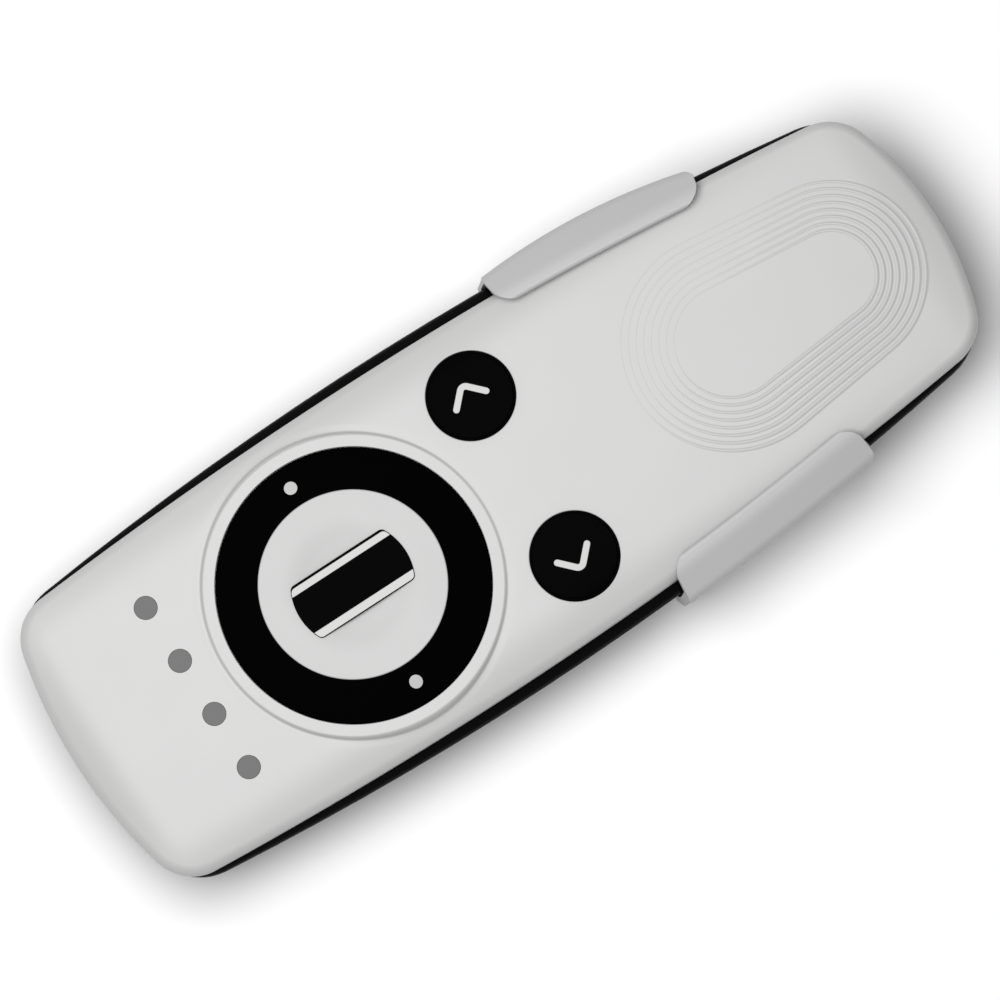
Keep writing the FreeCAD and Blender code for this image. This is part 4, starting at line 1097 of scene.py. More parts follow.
@dataclass
class BackHousing(Piece):
    """The black tub below the shell, and the battery door let into its back."""

    facets: int = 4
    levels: int = 5
    crease: float = 32.0
    near: float = 0.03
    rings: dict[float, np.ndarray] = field(default_factory=dict)

    def smoothed(self, node: str, name: str) -> bpy.types.Object:
        """A welded copy of a CAD node, whose flats along the sides are rounded out to the true bulge.

        Args:
            node: the CAD node.
            name: the copy's name.

        Returns:
            The copy.
        """
        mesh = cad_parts[node].data.copy()
        work = bmesh.new()
        work.from_mesh(mesh)
        bmesh.ops.remove_doubles(work, verts=work.verts, dist=0.001 * MM)
        work.to_mesh(mesh)
        work.clear()
        work.from_mesh(mesh)
        low, high = self.place.back_z, self.place.widest_z
        for i in range(self.facets):
            for j in range(1, self.levels):
                height = low + (high - low) * (i + j / self.levels) / self.facets
                bmesh.ops.bisect_plane(work, geom=[*work.verts, *work.edges, *work.faces], dist=1e-8,
                                       plane_co=(0, 0, height * MM), plane_no=(0, 0, 1))
        for vert in work.verts:
            x, y, z = (value / MM for value in vert.co)
            if low + 0.01 < z < high - 0.01:
                bulge = self.bulge(z - low)
                gap, way = self.off_flats(Vector((x, y)), z - low)
                if abs(gap) < self.near and bulge > 0.0005:
                    vert.co.x += way.x * bulge * MM
                    vert.co.y += way.y * bulge * MM
        bmesh.ops.triangulate(work, faces=[f for f in work.faces if len(f.verts) > 4])
        work.to_mesh(mesh)
        work.free()
        smooth(mesh, self.crease)
        return show(name, mesh)

    def tuck(self, height: float) -> float:
        """How far the side lies in from its widest, at a height above the back."""
        radius, tall = self.place.side_bulge, self.place.widest_z - self.place.back_z
        return radius - math.sqrt(radius**2 - (tall - height) ** 2)

    def bulge(self, height: float) -> float:
        """How far the true side stands out of the flat between two levels.

        Args:
            height: the height above the back.

        Returns:
            The distance.
        """
        step = (self.place.widest_z - self.place.back_z) / self.facets
        i = min(int(height / step), self.facets - 1)
        share = height / step - i
        return self.tuck(step * i) * (1 - share) + self.tuck(step * (i + 1)) * share - self.tuck(height)

    def off_flats(self, spot: Vector, height: float) -> tuple[float, Vector]:
        """How far a point lies from the tub's outer flats, and the outward direction there.

        Args:
            spot: the point in plan.
            height: its height above the back.

        Returns:
            The distance and the outward direction.
        """
        inset = self.tuck(height) + self.bulge(height)
        key = round(inset, 3)
        if key not in self.rings:
            self.rings[key] = np.array([(p[0], p[1]) for p in self.place.base.ring(inset)])
        ring = self.rings[key]
        nearest = int(np.argmin(((ring - np.array(spot)) ** 2).sum(1)))
        found = []
        for i in (nearest - 1, nearest):
            line = ring[(i + 1) % len(ring)] - ring[i]
            normal = Vector((line[1], -line[0])).normalized()
            found.append(((spot - Vector(ring[i])).dot(normal), normal))
        return min(found, key=lambda pair: abs(pair[0]))

    def make(self) -> None:
        """Build, dress and settle the tub and its door."""
        for node, name, body in (("back_housing", "BackHousing", Body.REMOTE),
                                 ("battery_door", "BatteryDoor", Body.DOOR)):
            self.finishes.settle(self.smoothed(node, name), body, "housing", node)


# Dial


@dataclass
class Dial(Piece):
    """The rotary dial: black cone, white cap with a finger dish, and the grip bar across it."""

    radius: float = 20.38
    cap_radius: float = 14.0
    cap_gap: float = 0.03
    rise: float = 2.6
    rim: float = 0.55
    wall: float = 1.5
    web: float = 1.1
    bore: float = 3.03
    hub_radius: float = 4.6
    dish_radius: float = 9.4
    dish_depth: float = 1.0
    dish_lip: float = 2.0
    dish_soft: float = 0.35
    bar_reach: float = 9.2
    bar_span: Pair = (-4.25, 4.62)
    bar_depth: float = 1.7
    bar_proud: float = 0.15
    bar_corner: float = 0.9
    trim_spans: tuple[Pair, ...] = ((3.15, 4.22), (-4.13, -2.92))
    trim_edge: float = 0.1
    trim_proud: float = 0.03
    trim_depth: float = 0.5
    dot_orbit: float = 16.96
    dot_radius: float = 1.0
    dot_proud: float = 0.04
    dot_depth: float = 0.7

    def skirt(self) -> Skin:
        """The conical skirt with its hub, turned from one profile.

        Returns:
            The skin.
        """
        place = self.place
        low, top = place.skirt_z, place.dial_top_z
        web, wall, seat = place.cap_z - self.web, self.radius - self.wall, self.cap_radius + self.cap_gap
        profile = filleted([
            (self.bore, place.hub_z, 0), (self.hub_radius, place.hub_z, 0.15), (self.hub_radius, web, 0),
            (wall, web, 0.3), (wall, low, 0), (self.radius, low, 0.1), (self.radius, low + self.rim, 0.35),
            (seat, top, 0.06), (seat, place.cap_z, 0), (self.bore, place.cap_z, 0)])
        return Skin().lathe(profile, place.dial_x, 0, 180)

    def cap(self) -> Skin:
        """The white disc, whose dish has a softly rolled lip.

        Returns:
            The skin.
        """
        top, soft, steps = self.place.dial_top_z, self.dish_soft, 60
        ball = (self.dish_radius**2 + self.dish_depth**2) / (2 * self.dish_depth)
        reach = self.dish_radius + self.dish_lip
        profile = [(0.0, self.place.cap_z), (self.cap_radius, self.place.cap_z)]
        profile += filleted([(*profile[-1], 0), (self.cap_radius, top, 0.2), (reach, top, 0)], 5, False)[1:]
        for i in range(1, steps):
            r = reach * (1 - i / steps)
            bowl = top - self.dish_depth + ball - math.sqrt(ball * ball - r * r) - top
            near = max(soft - abs(bowl), 0.0) / soft
            profile.append((r, top + min(bowl, 0.0) - near * near * soft / 4))
        profile.append((0.0, profile[-1][1]))
        return Skin().lathe(profile, self.place.dial_x, 0, 160, False)

    def slice_plan(self, span: Pair, radius: float, corners: Pair, inset: float) -> Ring:
        """A slice of a disc along X between two lines, with rounded corners.

        Args:
            span: y of the lower and the upper line.
            radius: the disc's radius.
            corners: radius of the lower and the upper corners.
            inset: how far the outline is drawn in.

        Returns:
            The outline, counter-clockwise.
        """
        low, high, r = span[0] + inset, span[1] - inset, radius - inset

        def corner(sx: int, sy: int) -> tuple[float, float, float]:
            """Radius and middle of one rounded corner.

            Args:
                sx: the corner's side along X.
                sy: the corner's side along Y.

            Returns:
                Its radius, and its middle's x and y.
            """
            size = max(corners[sy > 0] - inset, 0.04)
            y = high - size if sy > 0 else low + size
            return size, sx * math.sqrt((r - size) ** 2 - y * y), y

        def wrapped(angle: float) -> float:
            """An angle within half a turn of zero."""
            return (angle + math.pi) % (2 * math.pi) - math.pi

        made: Ring = []
        for sx, sy in ((1, -1), (1, 1), (-1, 1), (-1, -1)):
            size, x, y = corner(sx, sy)
            out, line = math.atan2(y, x), math.copysign(math.pi / 2, sy)
            first, last = (line, out) if sx * sy < 0 else (out, line)
            made += sweep((self.place.dial_x + x, y), size, first, wrapped(last - first), 8)
            if sx * sy < 0:
                _, x, y = corner(sx, sx)
                made += sweep((self.place.dial_x, 0), r, out, wrapped(math.atan2(y, x) - out), 12)[1:-1]
        return made

    def bar(self) -> Skin:
        """The black grip bar, from one side of the dish to the other.

        Returns:
            The skin.
        """
        top, corners = self.place.dial_top_z + self.bar_proud, (self.bar_corner,) * 2
        return Skin().cushion(lambda i: self.slice_plan(self.bar_span, self.bar_reach, corners, i),
                              lambda x, y: top, top - self.bar_depth, 0.15, 2.0, 5)

    def trims(self) -> Skin:
        """The two bright strips along the bar's edges, square inside and rounded outside.

        Returns:
            The skin.
        """
        skin = Skin()
        top = self.place.dial_top_z + self.bar_proud + self.trim_proud
        outer, square = self.bar_corner - self.trim_edge, 0.05
        for span in self.trim_spans:
            corners = (square, outer) if span[0] > 0 else (outer, square)
            skin.cushion(lambda i: self.slice_plan(span, self.bar_reach - self.trim_edge, corners, i),
                         lambda x, y: top, top - self.trim_depth, 0.05, 1.5)
        return skin

    def dots(self) -> Skin:
        """The two white index dots let into the cone.

        Returns:
            The skin.
        """
        skin, place = Skin(), self.place
        slope = self.rise / (self.radius - self.cap_radius)

        def cone(x: float, y: float) -> float:
            """Height of the dots' top, a hair over the cone."""
            reach = math.hypot(x - place.dial_x, y)
            return place.skirt_z + self.rim + (self.radius - reach) * slope + self.dot_proud

        for side in Side:
            skin.cushion(lambda i: circle(place.dial_x, side.value * self.dot_orbit, self.dot_radius - i, 48),
                         cone, lambda x, y: cone(x, y) - self.dot_depth, 0.05, 0.5)
        return skin

    def make(self) -> None:
        """Build, dress and settle the dial's pieces."""
        for skin, name, crease, slot, node in (
                (self.skirt(), "DialSkirt", 40.0, "dial_black", "dial_skirt"),
                (self.cap(), "DialCap", 50.0, "dial_white", "dial_cap"),
                (self.bar(), "DialBar", 35.0, "bar_black", "dial_bar"),
                (self.trims(), "DialTrims", 35.0, "bright_trim", "dial_trims"),
                (self.dots(), "DialDots", 35.0, "bright_trim", "dial_dots")):
            self.finishes.settle(skin.solid(name, crease), Body.DIAL, slot, node)


# Keys and lights


@dataclass
class PushButton(Piece):
    """One round push button with its white arrowhead."""

    side: Side
    radius: float = 6.5
    proud: float = 0.7
    edge: float = 0.35
    flange_z: float = 17.7
    flange_width: float = 0.9
    flange_height: float = 0.9
    stem_z: float = 12.55
    stem_radius: float = 2.4
    half_span: float = 2.6
    apex: float = 2.0
    foot: float = -0.7
    stroke: float = 1.0
    apex_radius: float = 0.8
    arrow_proud: float = 0.04
    arrow_depth: float = 0.4
    arrow_shifts: tuple[Pair, ...] = ((-0.12, -0.2), (-0.3, 0.0))

    def top(self, x: float, y: float) -> float:
        """Height of the button's top."""
        return self.place.crown.height(x, y) + self.proud

    def cap(self) -> Skin:
        """The button, its flange and its stem.

        Returns:
            The skin.
        """
        skin, x, y = Skin(), self.place.button_x, self.side.value * self.place.button_y
        wide, low = self.radius + self.flange_width, self.flange_z - self.flange_height
        rows = [lifted(circle(x, y, r), z) for r, z in (
            (self.stem_radius, self.stem_z), (self.stem_radius, low), (wide, low), (wide, self.flange_z),
            (self.radius, self.flange_z))]
        rows += rounded(lambda inset: circle(x, y, self.radius - inset), self.top, self.edge, 7)
        rows += [lifted(circle(x, y, r), self.top)
                 for r in (self.radius - self.edge - 0.05, 5.5, 4.5, 3.5, 2.5, 1.5, 0.7, AXIS)]
        skin.faces.append(tuple(skin.loft(rows)[0]))
        return skin

    def arrow_line(self) -> list[Vector]:
        """The arrowhead's middle line, with its point rounded.

        Returns:
            The points.
        """
        way, shift = self.side.value, self.arrow_shifts[self.side is Side.UP]
        x, y = self.place.button_x + shift[0], way * self.place.button_y + shift[1]
        line = filleted([(-self.half_span, self.foot, 0), (0, self.apex, self.apex_radius),
                         (self.half_span, self.foot, 0)], 8, False)
        return [Vector((x + a, y + way * b, 0)) for a, b in line]

    def arrow_plan(self, inset: float) -> Ring:
        """The arrowhead's outline, drawn in by an inset.

        Args:
            inset: how far it is drawn in.

        Returns:
            The points.
        """
        line, half = self.arrow_line(), self.stroke / 2 - inset
        left: Ring = []
        right: Ring = []
        for i, p in enumerate(line):
            along = (line[min(i + 1, len(line) - 1)] - line[max(i - 1, 0)]).normalized()
            normal = Vector((-along.y, along.x, 0))
            left.append(p + normal * half)
            right.append(p - normal * half)
        return (right + self.round_end(line[-1], line[-1] - line[-2], half)
                + left[::-1] + self.round_end(line[0], line[0] - line[1], half))

    @staticmethod
    def round_end(centre: Vector, way: Vector, half: float) -> Ring:
        """The half circle round one end of a stroke."""
        first = math.atan2(way.y, way.x) - math.pi / 2
        return [centre + p * half for p in sweep((0, 0), 1.0, first, math.pi, 10)[1:-1]]

    def arrow(self) -> Skin:
        """The arrowhead inlay."""
        return Skin().cushion(self.arrow_plan, lambda x, y: self.top(x, y) + self.arrow_proud,
                              lambda x, y: self.top(x, y) - self.arrow_depth, 0.07, 0.6)

    def make(self) -> None:
        """Build, dress and settle the button and its arrowhead."""
        body = Body.UP_KEY if self.side is Side.UP else Body.DOWN_KEY
        word = self.side.name.lower()
        self.finishes.settle(self.cap().solid("PushButton_" + word), body, "button_black", word + "_button")
        self.finishes.settle(self.arrow().solid("Arrow_" + word), body, "bright_trim", word + "_chevron")


@dataclass
class LightPipe(Piece):
    """Four smoke-grey posts that stand in the shell's holes, moulded on one web."""

    radius: float = 1.72
    edge: float = 0.04
    gap: float = 0.03
    foot_z: float = 10.75
    foot_round: float = 0.1
    web_top_z: float = 15.55
    web_thickness: float = 1.2
    web_width: float = 4.6

    def post(self, reach: float) -> bpy.types.Object:
        """One post of a height, standing at the origin of a point carrier.

        Args:
            reach: the height of its top.

        Returns:
            The post.
        """
        profile = filleted([(0.0, self.foot_z, 0), (self.radius, self.foot_z, self.foot_round),
                            (self.radius, reach, self.edge), (0.0, reach, 0)], 4, False)
        return Skin().lathe(profile, 0, 0, 48, False).solid("post")

    def web(self) -> bpy.types.Object:
        """The flat strip that joins the posts.

        Returns:
            The web.
        """
        half, top = self.web_width / 2, self.web_top_z
        length = 1.5 * self.place.light_pitch + half
        plan = (lambda i: [Vector((self.place.light_x + sx * (half - i), sy * (length - i), 0))
                           for sx, sy in ((-1, -1), (1, -1), (1, 1), (-1, 1))])
        return Skin().cushion(plan, lambda x, y: top, top - self.web_thickness, 0.2, 3.0, 5).solid("web")

    def make(self) -> None:
        """Build, dress and settle the light pipe."""
        place = self.place
        outer = place.crown.height(place.light_x, place.light_pitch * 1.5)
        post, web = self.post(outer - self.gap), self.web()
        sheet = GeometrySheet("Row of light posts", Post=post, Web=web,
                              Material=self.finishes.made["light_pipe"])
        places = [(x, y, place.crown.height(x, y) - outer) for x, y in place.light_places()]
        thing = sheet.run(sheet.joined(sheet.on_points("Post"), sheet.shape("Web")), point_carrier(places),
                          "LightPipe")
        drop(post, web)
        self.finishes.settle(thing, Body.REMOTE, "light_pipe", "light_pipe")


@dataclass
class GripRidges(Piece):
    """The fine tapered rings moulded into the narrow end, inside one another."""

    count: int = 8
    left_x: float = 39.5
    right_x: float = 57.2
    left_radii: Pair = (8.3, 16.1)
    right_radii: Pair = (6.7, 13.9)
    start_z: float = 40.0
    half_width: float = 0.5
    bell: float = 0.2
    root: float = 0.2
    high: float = 0.17
    low: float = 0.018
    slant: float = 0.6
    strong: Pair = (16.0, 40.0)
    points: int = 90
    stations: int = 260

    def loop(self, left: float, right: float) -> Ring:
        """One ring: the outline round two circles of different size.

        Args:
            left: radius of the left circle.
            right: radius of the right one.

        Returns:
            The points.
        """
        lean = math.asin((left - right) / (self.right_x - self.left_x))
        first, steps = math.pi / 2 - lean, self.points - 1
        return (sweep((self.right_x, 0), right, -first, 2 * first, steps)
                + sweep((self.left_x, 0), left, first, 2 * math.pi - 2 * first, steps))

    @staticmethod
    def closed_lines(name: str, lines: Sequence[Sequence[Sequence[float]]]) -> bpy.types.Object:
        """A curve object of closed lines, given in millimetres.

        Args:
            name: its name.
            lines: the points of each line.

        Returns:
            The object.
        """
        data = bpy.data.curves.new(name, "CURVE")
        data.dimensions = "3D"
        for line in lines:
            spline = data.splines.new("POLY")
            spline.points.add(len(line) - 1)
            for point, spot in zip(spline.points, line):
                point.co = (*(value * MM for value in spot), 1.0)
            spline.use_cyclic_u = True
        return show(name, data)

    def rings(self) -> bpy.types.Object:
        """The rings, lying flat above the shell.

        Returns:
            The curve object.
        """
        lines = []
        for n in range(self.count):
            left, right = (inner + (outer - inner) * n / (self.count - 1)
                           for inner, outer in (self.left_radii, self.right_radii))
            lines.append(lifted(self.loop(left, right), self.start_z))
        return self.closed_lines("rings", lines)

    def section(self) -> bpy.types.Object:
        """The ridge's bell-shaped section; a swept section's Y points down.

        Returns:
            The curve object.
        """
        half = self.half_width
        line = [(half * i / 8, -self.bell / 2 * (1 + math.cos(math.pi * i / 8)), 0) for i in range(-8, 9)]
        return self.closed_lines("section", [line + [(half, self.root, 0), (-half, self.root, 0)]])

    def make(self, shell: bpy.types.Object) -> None:
        """Build, dress and settle the ridges on the shell.

        Args:
            shell: the front shell, which they follow.
        """
        section = self.section()
        sheet = GeometrySheet("Ridges on the crown", Shell=shell, Section=section, Bell=self.bell * MM,
                              High=self.high * MM, Low=self.low * MM, Strong_From=self.strong[0] * MM,
                              Strong_To=self.strong[1] * MM, Material=self.finishes.made["shell"])
        given = sheet.given
        even = sheet.add("GeometryNodeResampleCurve", Curve=given["Geometry"], Count=self.stations)["Curve"]
        spot = sheet.add("GeometryNodeInputPosition")["Position"]
        ray = sheet.add("GeometryNodeRaycast", Target_Geometry=sheet.shape("Shell"), Source_Position=spot,
                        Ray_Direction=(0, 0, -1), Ray_Length=0.05)
        axes = sheet.add("ShaderNodeSeparateXYZ", Vector=spot)
        lean = sheet.math("SUBTRACT", sheet.math("MULTIPLY", axes["X"], self.slant), axes["Y"])
        proud = sheet.add("ShaderNodeMapRange", Value=lean, From_Min=given["Strong From"],
                          From_Max=given["Strong To"], To_Min=given["Low"], To_Max=given["High"])["Result"]
        sink = sheet.add("ShaderNodeVectorMath", {"operation": "SCALE"}, Vector=ray["Hit Normal"],
                         Scale=sheet.math("SUBTRACT", proud, given["Bell"]))["Vector"]
        spot = sheet.math("ADD", ray["Hit Position"], sink, kind="ShaderNodeVectorMath")
        laid = sheet.add("GeometryNodeSetPosition", Geometry=even, Position=spot)["Geometry"]
        upright = sheet.add("GeometryNodeSetCurveNormal", {"mode": "Z_UP"}, Curve=laid)["Curve"]
        swept = sheet.add("GeometryNodeCurveToMesh", Curve=upright,
                          Profile_Curve=sheet.shape("Section"))["Mesh"]
        thing = sheet.run(swept, self.rings(), "GripRidges", 60.0)
        drop(section)
        self.finishes.settle(thing, Body.REMOTE, "shell")


# Holder


@dataclass
class WallHolder(Piece):
    """The holder: a long back plate, and two hooked arms that fold over the shell's edges."""

    plate_left: float = -50.0
    plate_right: float = 60.0
    plate_half: float = 17.0
    plate_thickness: float = 2.4
    plate_edge: float = 0.7
    gap: float = 0.35
    wall: float = 2.3
    root_depth: float = 12.0
    arm_ends: Pair = (14.2, 48.3)
    lean: float = 3.0
    lip_width: float = 4.25
    lip_under: float = 19.69
    lip_over: float = 21.29
    lip_flat: float = 2.0
    lip_slope: float = 0.16
    outer_slope: float = 0.58
    outer_wall: float = 1.3
    lip_round: float = 0.6
    knee_round: float = 4.0
    outer_round: float = 2.0
    lip_corners: Pair = (3.3, 4.4)
    end_rounds: Pair = (0.4, 1.4)
    bow_x: float = 21.9
    bow_reach: float = 0.96
    bow_radius: float = 95.2
    lower_reach: float = 2.39
    lower_draft: float = 0.085
    levels: int = 12
    stations: int = 48
    screws: Pair = (-20.0, 40.0)
    head_radius: float = 3.7
    head_depth: float = 1.6
    bore: float = 2.1
    softening: float = 0.22

    def outer_limit(self, x: float, side: Side) -> float:
        """Y of an arm's outer edge at a place along it: bowed on the upper arm, straight on the lower one.

        Args:
            x: the place along the arm.
            side: which arm.

        Returns:
            The edge's y.
        """
        base = self.place.base
        if side is Side.DOWN:
            return base.half_at(x) + self.lower_reach
        bow = base.half_width + self.bow_reach - self.bow_radius
        bow += math.sqrt(self.bow_radius**2 - (x - self.bow_x) ** 2)
        return min(base.half_at(x) + self.gap + self.wall, bow)

    def side_at(self, half: float, z: float, extra: float) -> float:
        """Y of the tub's bulge at a height, let out by a margin, where it is half a width wide.

        Args:
            half: half the tub's width there.
            z: the height.
            extra: the margin.

        Returns:
            The y.
        """
        radius = self.place.side_bulge + self.gap + extra
        fall = max(self.place.widest_z - z, 0.0)
        return half - self.place.side_bulge + math.sqrt(radius * radius - fall * fall)

    def section(self, x: float, side: Side) -> list[tuple[Pair, Pair]]:
        """The arm's cross-section as pairs of an outer and an inner (y, z).

        Args:
            x: the place along the arm.
            side: which arm.

        Returns:
            The pairs, from the root to the tip of the lip.
        """
        widest, plate = self.place.widest_z, self.plate_thickness
        limit, half = self.outer_limit(x, side), self.place.base.half_at(x)
        draft = self.lower_draft if side is Side.DOWN else 0.0
        tip, inner = half - self.lip_width, half + self.gap
        bend, bend_z = tip + self.lip_flat, self.lip_over - self.lip_flat * self.lip_slope
        edge_z = bend_z - (limit - bend) * self.outer_slope
        under = bend_z - self.outer_wall
        middle = (self.lip_under + self.lip_over) / 2
        root, sunk, hidden = half - self.root_depth, 0.4, 0.02
        pairs = [((root, sunk), (root, plate - sunk)),
                 ((self.plate_half - 0.2, hidden), (self.plate_half - self.plate_edge - 0.1, plate - hidden))]
        for i in range(self.levels + 1):
            low = widest * i / self.levels
            high = plate + (widest - plate) * i / self.levels
            outer = min(self.side_at(half, low, self.wall), limit - draft * (edge_z - low))
            pairs.append(((outer, low), (self.side_at(half, high, 0.0), high)))
        outer_path = filleted([
            (limit - draft * (edge_z - widest), widest, 0), (limit, edge_z, self.outer_round),
            (bend, bend_z, self.knee_round), (tip, self.lip_over, self.lip_round), (tip, middle, 0)],
            8, False)
        inner_path = filleted([
            (inner, widest, 0), (inner, under - (inner - bend) * self.outer_slope, 1.0),
            (bend, under, self.knee_round / 2), (tip, self.lip_under, 0.2), (tip, middle, 0)], 8, False)
        return pairs + list(zip(outer_path[1:-1], inner_path[1:-1]))

    @staticmethod
    def cut_back(reach: float, radius: float) -> float:
        """How far a rounded corner draws an end face in, at a distance from the lip's edge."""
        return radius - math.sqrt(radius**2 - max(radius - reach, 0.0) ** 2) if reach > 0 else radius

    def arm(self, skin: Skin, side: Side) -> None:
        """One arm, as rows of its section between two end faces.

        Args:
            skin: where the faces go.
            side: which arm.
        """
        tips = [self.section(x, side) for x in self.arm_ends]
        middle = self.section(sum(self.arm_ends) / 2, side)
        count = len(middle)
        rows: list[Ring] = []
        for which, order in ((0, range(count)), (1, reversed(range(count)))):
            for k in order:
                z = middle[k][which][1]
                cuts = []
                for tip, x, rounding, corner in zip(tips, self.arm_ends, self.end_rounds, self.lip_corners):
                    y = tip[k][which][0]
                    above = middle[k][0][1] > self.place.widest_z
                    face = self.outer_limit(x, side) if above else tip[k][0][0]
                    cut = self.cut_back(face - y, rounding) if k > 1 else 0.0
                    if z > self.lip_under - 2.0:
                        cut += self.cut_back(max(y - tip[-1][0][0], 0.0), corner)
                    cuts.append(cut)
                start = self.arm_ends[0] - self.lean * (self.lip_over - z) / (self.lip_over + 1.0) + cuts[0]
                length = self.arm_ends[1] - cuts[1] - start
                row: Ring = []
                for i in range(self.stations + 1):
                    x = start + length * i / self.stations
                    y, height = self.section(x, side)[k][which]
                    row.append(Vector((x, side.value * y, height)))
                rows.append(row)
        made = skin.loft(rows, False, True)
        for i in (0, -1):
            skin.faces += [(made[k][i], made[k + 1][i], made[-k - 2][i], made[-k - 1][i])
                           for k in range(count - 1)]

    def plate_ring(self, inset: float) -> Ring:
        """The plate's stadium outline, drawn in by an inset.

        Args:
            inset: how far it is drawn in.

        Returns:
            The points.
        """
        radius = self.plate_half - inset
        return (sweep((self.plate_right - self.plate_half, 0), radius, -math.pi / 2, math.pi, 48)
                + sweep((self.plate_left + self.plate_half, 0), radius, math.pi / 2, math.pi, 48))

    def plate(self, skin: Skin) -> None:
        """The back plate with its bevelled rim and countersunk holes.

        Args:
            skin: where the faces go.
        """
        top, edge = self.plate_thickness, self.plate_edge
        rings = ((0.15, 0.0), (0.0, 0.15), (0.0, top - edge), (edge, top), (edge + 0.1, top))
        rows = [lifted(self.plate_ring(inset), z) for inset, z in rings]
        skin.loft(rows)
        profile = ((self.head_radius + 0.15, top), (self.head_radius, top),
                   (self.bore, top - self.head_depth), (self.bore, 0.1), (self.bore + 0.1, 0.0))
        holes = [[lifted(circle(x, 0, r, 64), z) for r, z in profile] for x in self.screws]
        for hole in holes:
            skin.loft(hole)
        skin.patch(rows[-1], [hole[0] for hole in holes], lambda x, y: top, 4.0)
        skin.patch(rows[0], [hole[-1] for hole in holes], lambda x, y: 0.0, 6.0)

    def make(self) -> None:
        """Build, dress and settle the holder."""
        skin = Skin()
        self.plate(skin)
        for side in Side:
            self.arm(skin, side)
        thing = skin.solid("WallHolder", 34.0)
        bevel = thing.modifiers.new("Softened edges", "BEVEL")
        bevel.width, bevel.segments = self.softening * MM, 3
        bevel.limit_method, bevel.angle_limit = "ANGLE", math.radians(38)
        bevel.harden_normals = False
        self.finishes.settle(thing, Body.HOLDER, "holder", "wall_holder")


# Small metal parts


@dataclass
class HousingScrews(Piece):
    """Six pan-head screws, driven from the back."""

    head_radius: float = 2.0
    head_height: float = 1.4
    radius: float = 1.1
    length: float = 8.0
    thread_depth: float = 0.18
    turns: int = 16

    def screw(self) -> bpy.types.Object:
        """One screw, its seat at height zero.

        Returns:
            The screw.
        """
        profile = filleted([(0.0, -self.head_height, 0), (self.head_radius - 0.5, -self.head_height, 0.4),
                            (self.head_radius, -0.5, 0.3), (self.head_radius, 0.0, 0), (self.radius, 0.0, 0)],
                           4, False)
        for i in range(self.turns * 2):
            z = self.length * (0.1 + 0.85 * i / (self.turns * 2))
            profile.append((self.radius - self.thread_depth * (i % 2), z))
        profile += [(0.35, self.length), (0.0, self.length)]
        return Skin().lathe(profile, 0, 0, 32, False).solid("screw")

    def make(self) -> None:
        """Build, dress and settle the screws."""
        screw = self.screw()
        sheet = GeometrySheet("Screws in their posts", Screw=screw,
                              Material=self.finishes.made["screw_steel"])
        places = [(x, y, self.place.screw_seat_z) for x, y in self.place.screw_places()]
        thing = sheet.run(sheet.on_points("Screw"), point_carrier(places), "HousingScrews")
        drop(screw)
        self.finishes.settle(thing, Body.REMOTE, "screw_steel", "housing_screws")


@dataclass
class BatterySprings(Piece):
    """Two conical springs of wound wire, one at each cell's flat end."""

    wire: float = 0.3
    start_radius: float = 3.1
    end_radius: float = 1.9
    length: float = 3.3
    turns: float = 4.5
    inset: float = 0.35
    y: float = 5.5
    z: float = 9.75

    def make(self) -> None:
        """Build, dress and settle the springs inside the CAD node's two cones."""
        low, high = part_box("battery_springs")
        sheet = GeometrySheet("Conical springs", Wire_Radius=self.wire * MM, Turns=self.turns,
                              Start_Radius=self.start_radius * MM, End_Radius=self.end_radius * MM,
                              Length=self.length * MM, Material=self.finishes.made["spring_steel"])
        given = sheet.given
        coil = sheet.add("GeometryNodeCurveSpiral", Resolution=36, Rotations=given["Turns"],
                         Start_Radius=given["Start Radius"], End_Radius=given["End Radius"],
                         Height=given["Length"])["Curve"]
        section = sheet.add("GeometryNodeCurvePrimitiveCircle", Resolution=10,
                            Radius=given["Wire Radius"])["Curve"]
        swept = sheet.add("GeometryNodeCurveToMesh", Curve=coil, Profile_Curve=section,
                          Fill_Caps=True)["Mesh"]
        ends = [sheet.add("GeometryNodeTransform", Geometry=swept, Rotation=(0.0, way * math.pi / 2, 0.0),
                          Translation=(x + way * self.inset * MM, way * self.y * MM, self.z * MM))["Geometry"]
                for x, way in ((low.x, 1), (high.x, -1))]
        thing = sheet.run(sheet.joined(*ends), point_carrier([(0, 0, 0)]), "BatterySprings", 60.0)
        self.finishes.settle(thing, Body.REMOTE, "spring_steel", "battery_springs")


# Studio


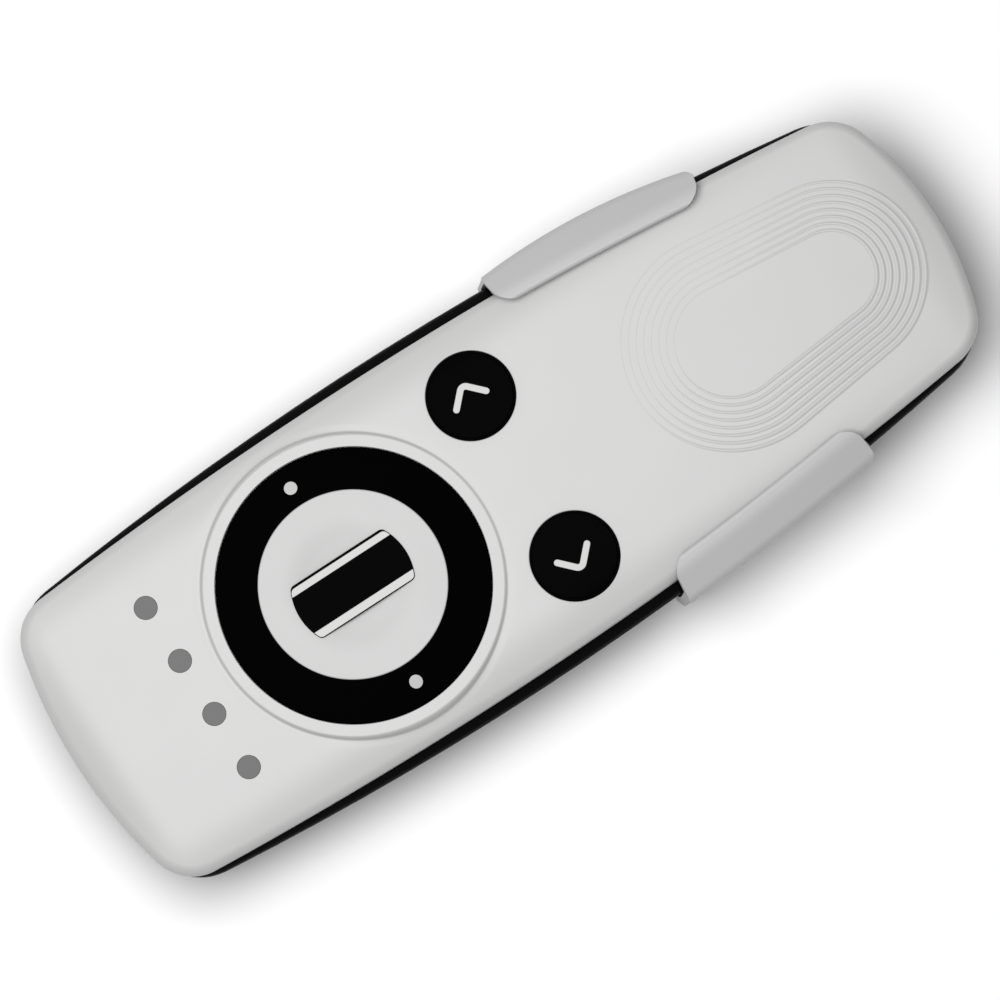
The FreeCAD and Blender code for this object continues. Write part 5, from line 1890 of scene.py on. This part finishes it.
@dataclass
class Studio:
    """Pale floor, soft light and the camera at the photograph's angle."""

    elevation: float = 85.5
    roll: float = 33.1
    distance: float = 2984.0
    lens: float = 732.0
    aim: tuple[float, float, float] = (-1.54, -1.20, 20.7)
    floor_tone: float = 0.9
    floor_size: float = 3000.0
    floor_z: float = -0.05
    sky: float = 0.35
    lamp_place: tuple[float, float, float] = (-0.055, 0.04, 0.42)
    lamp_size: float = 0.32
    lamp_power: float = 1.95

    def camera(self) -> None:
        """Place the camera and make it the scene's."""
        data = bpy.data.cameras.new("Camera_front")
        data.lens, data.sensor_width = self.lens, 36.0
        data.clip_start, data.clip_end = 0.01, 20.0
        tilt, turn = math.radians(self.elevation), math.radians(self.roll)
        back = Vector((0.0, -math.cos(tilt), math.sin(tilt)))
        right = Vector((math.cos(turn), -math.sin(turn), 0.0))
        right = (right - back * right.dot(back)).normalized()
        matrix = Matrix((right, back.cross(right), back)).transposed().to_4x4()
        matrix.translation = (Vector(self.aim) + back * self.distance) * MM
        bpy.context.scene.camera = show("Camera_front", data)
        bpy.context.scene.camera.matrix_world = matrix

    def lamp(self) -> None:
        """One soft square lamp that faces the remote."""
        data = bpy.data.lights.new("Lamp_key", "AREA")
        data.shape, data.size, data.energy = "SQUARE", self.lamp_size, self.lamp_power
        thing = show("Lamp_key", data)
        thing.location = self.lamp_place
        thing.rotation_euler = (-Vector(self.lamp_place)).to_track_quat("-Z", "Y").to_euler()

    def floor(self) -> None:
        """A wide pale sheet under the holder."""
        corners = ((-1, -1), (1, -1), (1, 1), (-1, 1))
        points = [Vector((x * self.floor_size, y * self.floor_size, self.floor_z)) * MM for x, y in corners]
        thing = show("Floor", plain_mesh("Floor", points, [(0, 1, 2, 3)]))
        sheet = MaterialSheet("floor_paper")
        for key, value in (("Base Color", (*(self.floor_tone,) * 3, 1.0)), ("Roughness", 0.9),
                           ("Specular IOR Level", 0.1)):
            sheet.shader.inputs[key].default_value = value
        thing.data.materials.append(sheet.made)

    def make(self) -> None:
        """Set up the whole studio."""
        self.camera()
        self.floor()
        self.lamp()
        world = bpy.data.worlds.new("Soft white room")
        world.use_nodes = True
        shade = world.node_tree.nodes["Background"].inputs
        shade["Color"].default_value, shade["Strength"].default_value = (1.0, 1.0, 1.0, 1.0), self.sky
        bpy.context.scene.world = world
        bpy.context.scene.view_settings.view_transform = "Standard"


INNER_NODES = {
    "main_board": "circuit_board", "rotary_encoder": "encoder_case", "encoder_shaft": "shaft_metal",
    "up_plunger": "plunger", "down_plunger": "plunger", "button_switches": "switch_case",
    "status_leds": "led_case", "radio_module": "radio_can", "board_chips": "chip_case",
    "battery_cells": "cell_jacket", "battery_contacts": "contact_metal",
}


def main() -> None:
    """Build the remote control, its holder and the studio, and report each piece."""
    logging.basicConfig(level=logging.INFO, format="%(message)s")
    drop(*(bpy.data.objects[name] for name in ("Cube", "Light", "Camera") if name in bpy.data.objects))
    place, finishes = Frame(), Finishes()
    Studio().make()
    shell = FrontShell(place, finishes).make()
    BackHousing(place, finishes).make()
    Dial(place, finishes).make()
    for side in Side:
        PushButton(place, finishes, side).make()
    LightPipe(place, finishes).make()
    GripRidges(place, finishes).make(shell)
    WallHolder(place, finishes).make()
    HousingScrews(place, finishes).make()
    BatterySprings(place, finishes).make()
    for node, slot in INNER_NODES.items():
        finishes.dress_node(node, slot)


if __name__ == "__main__":
    main()
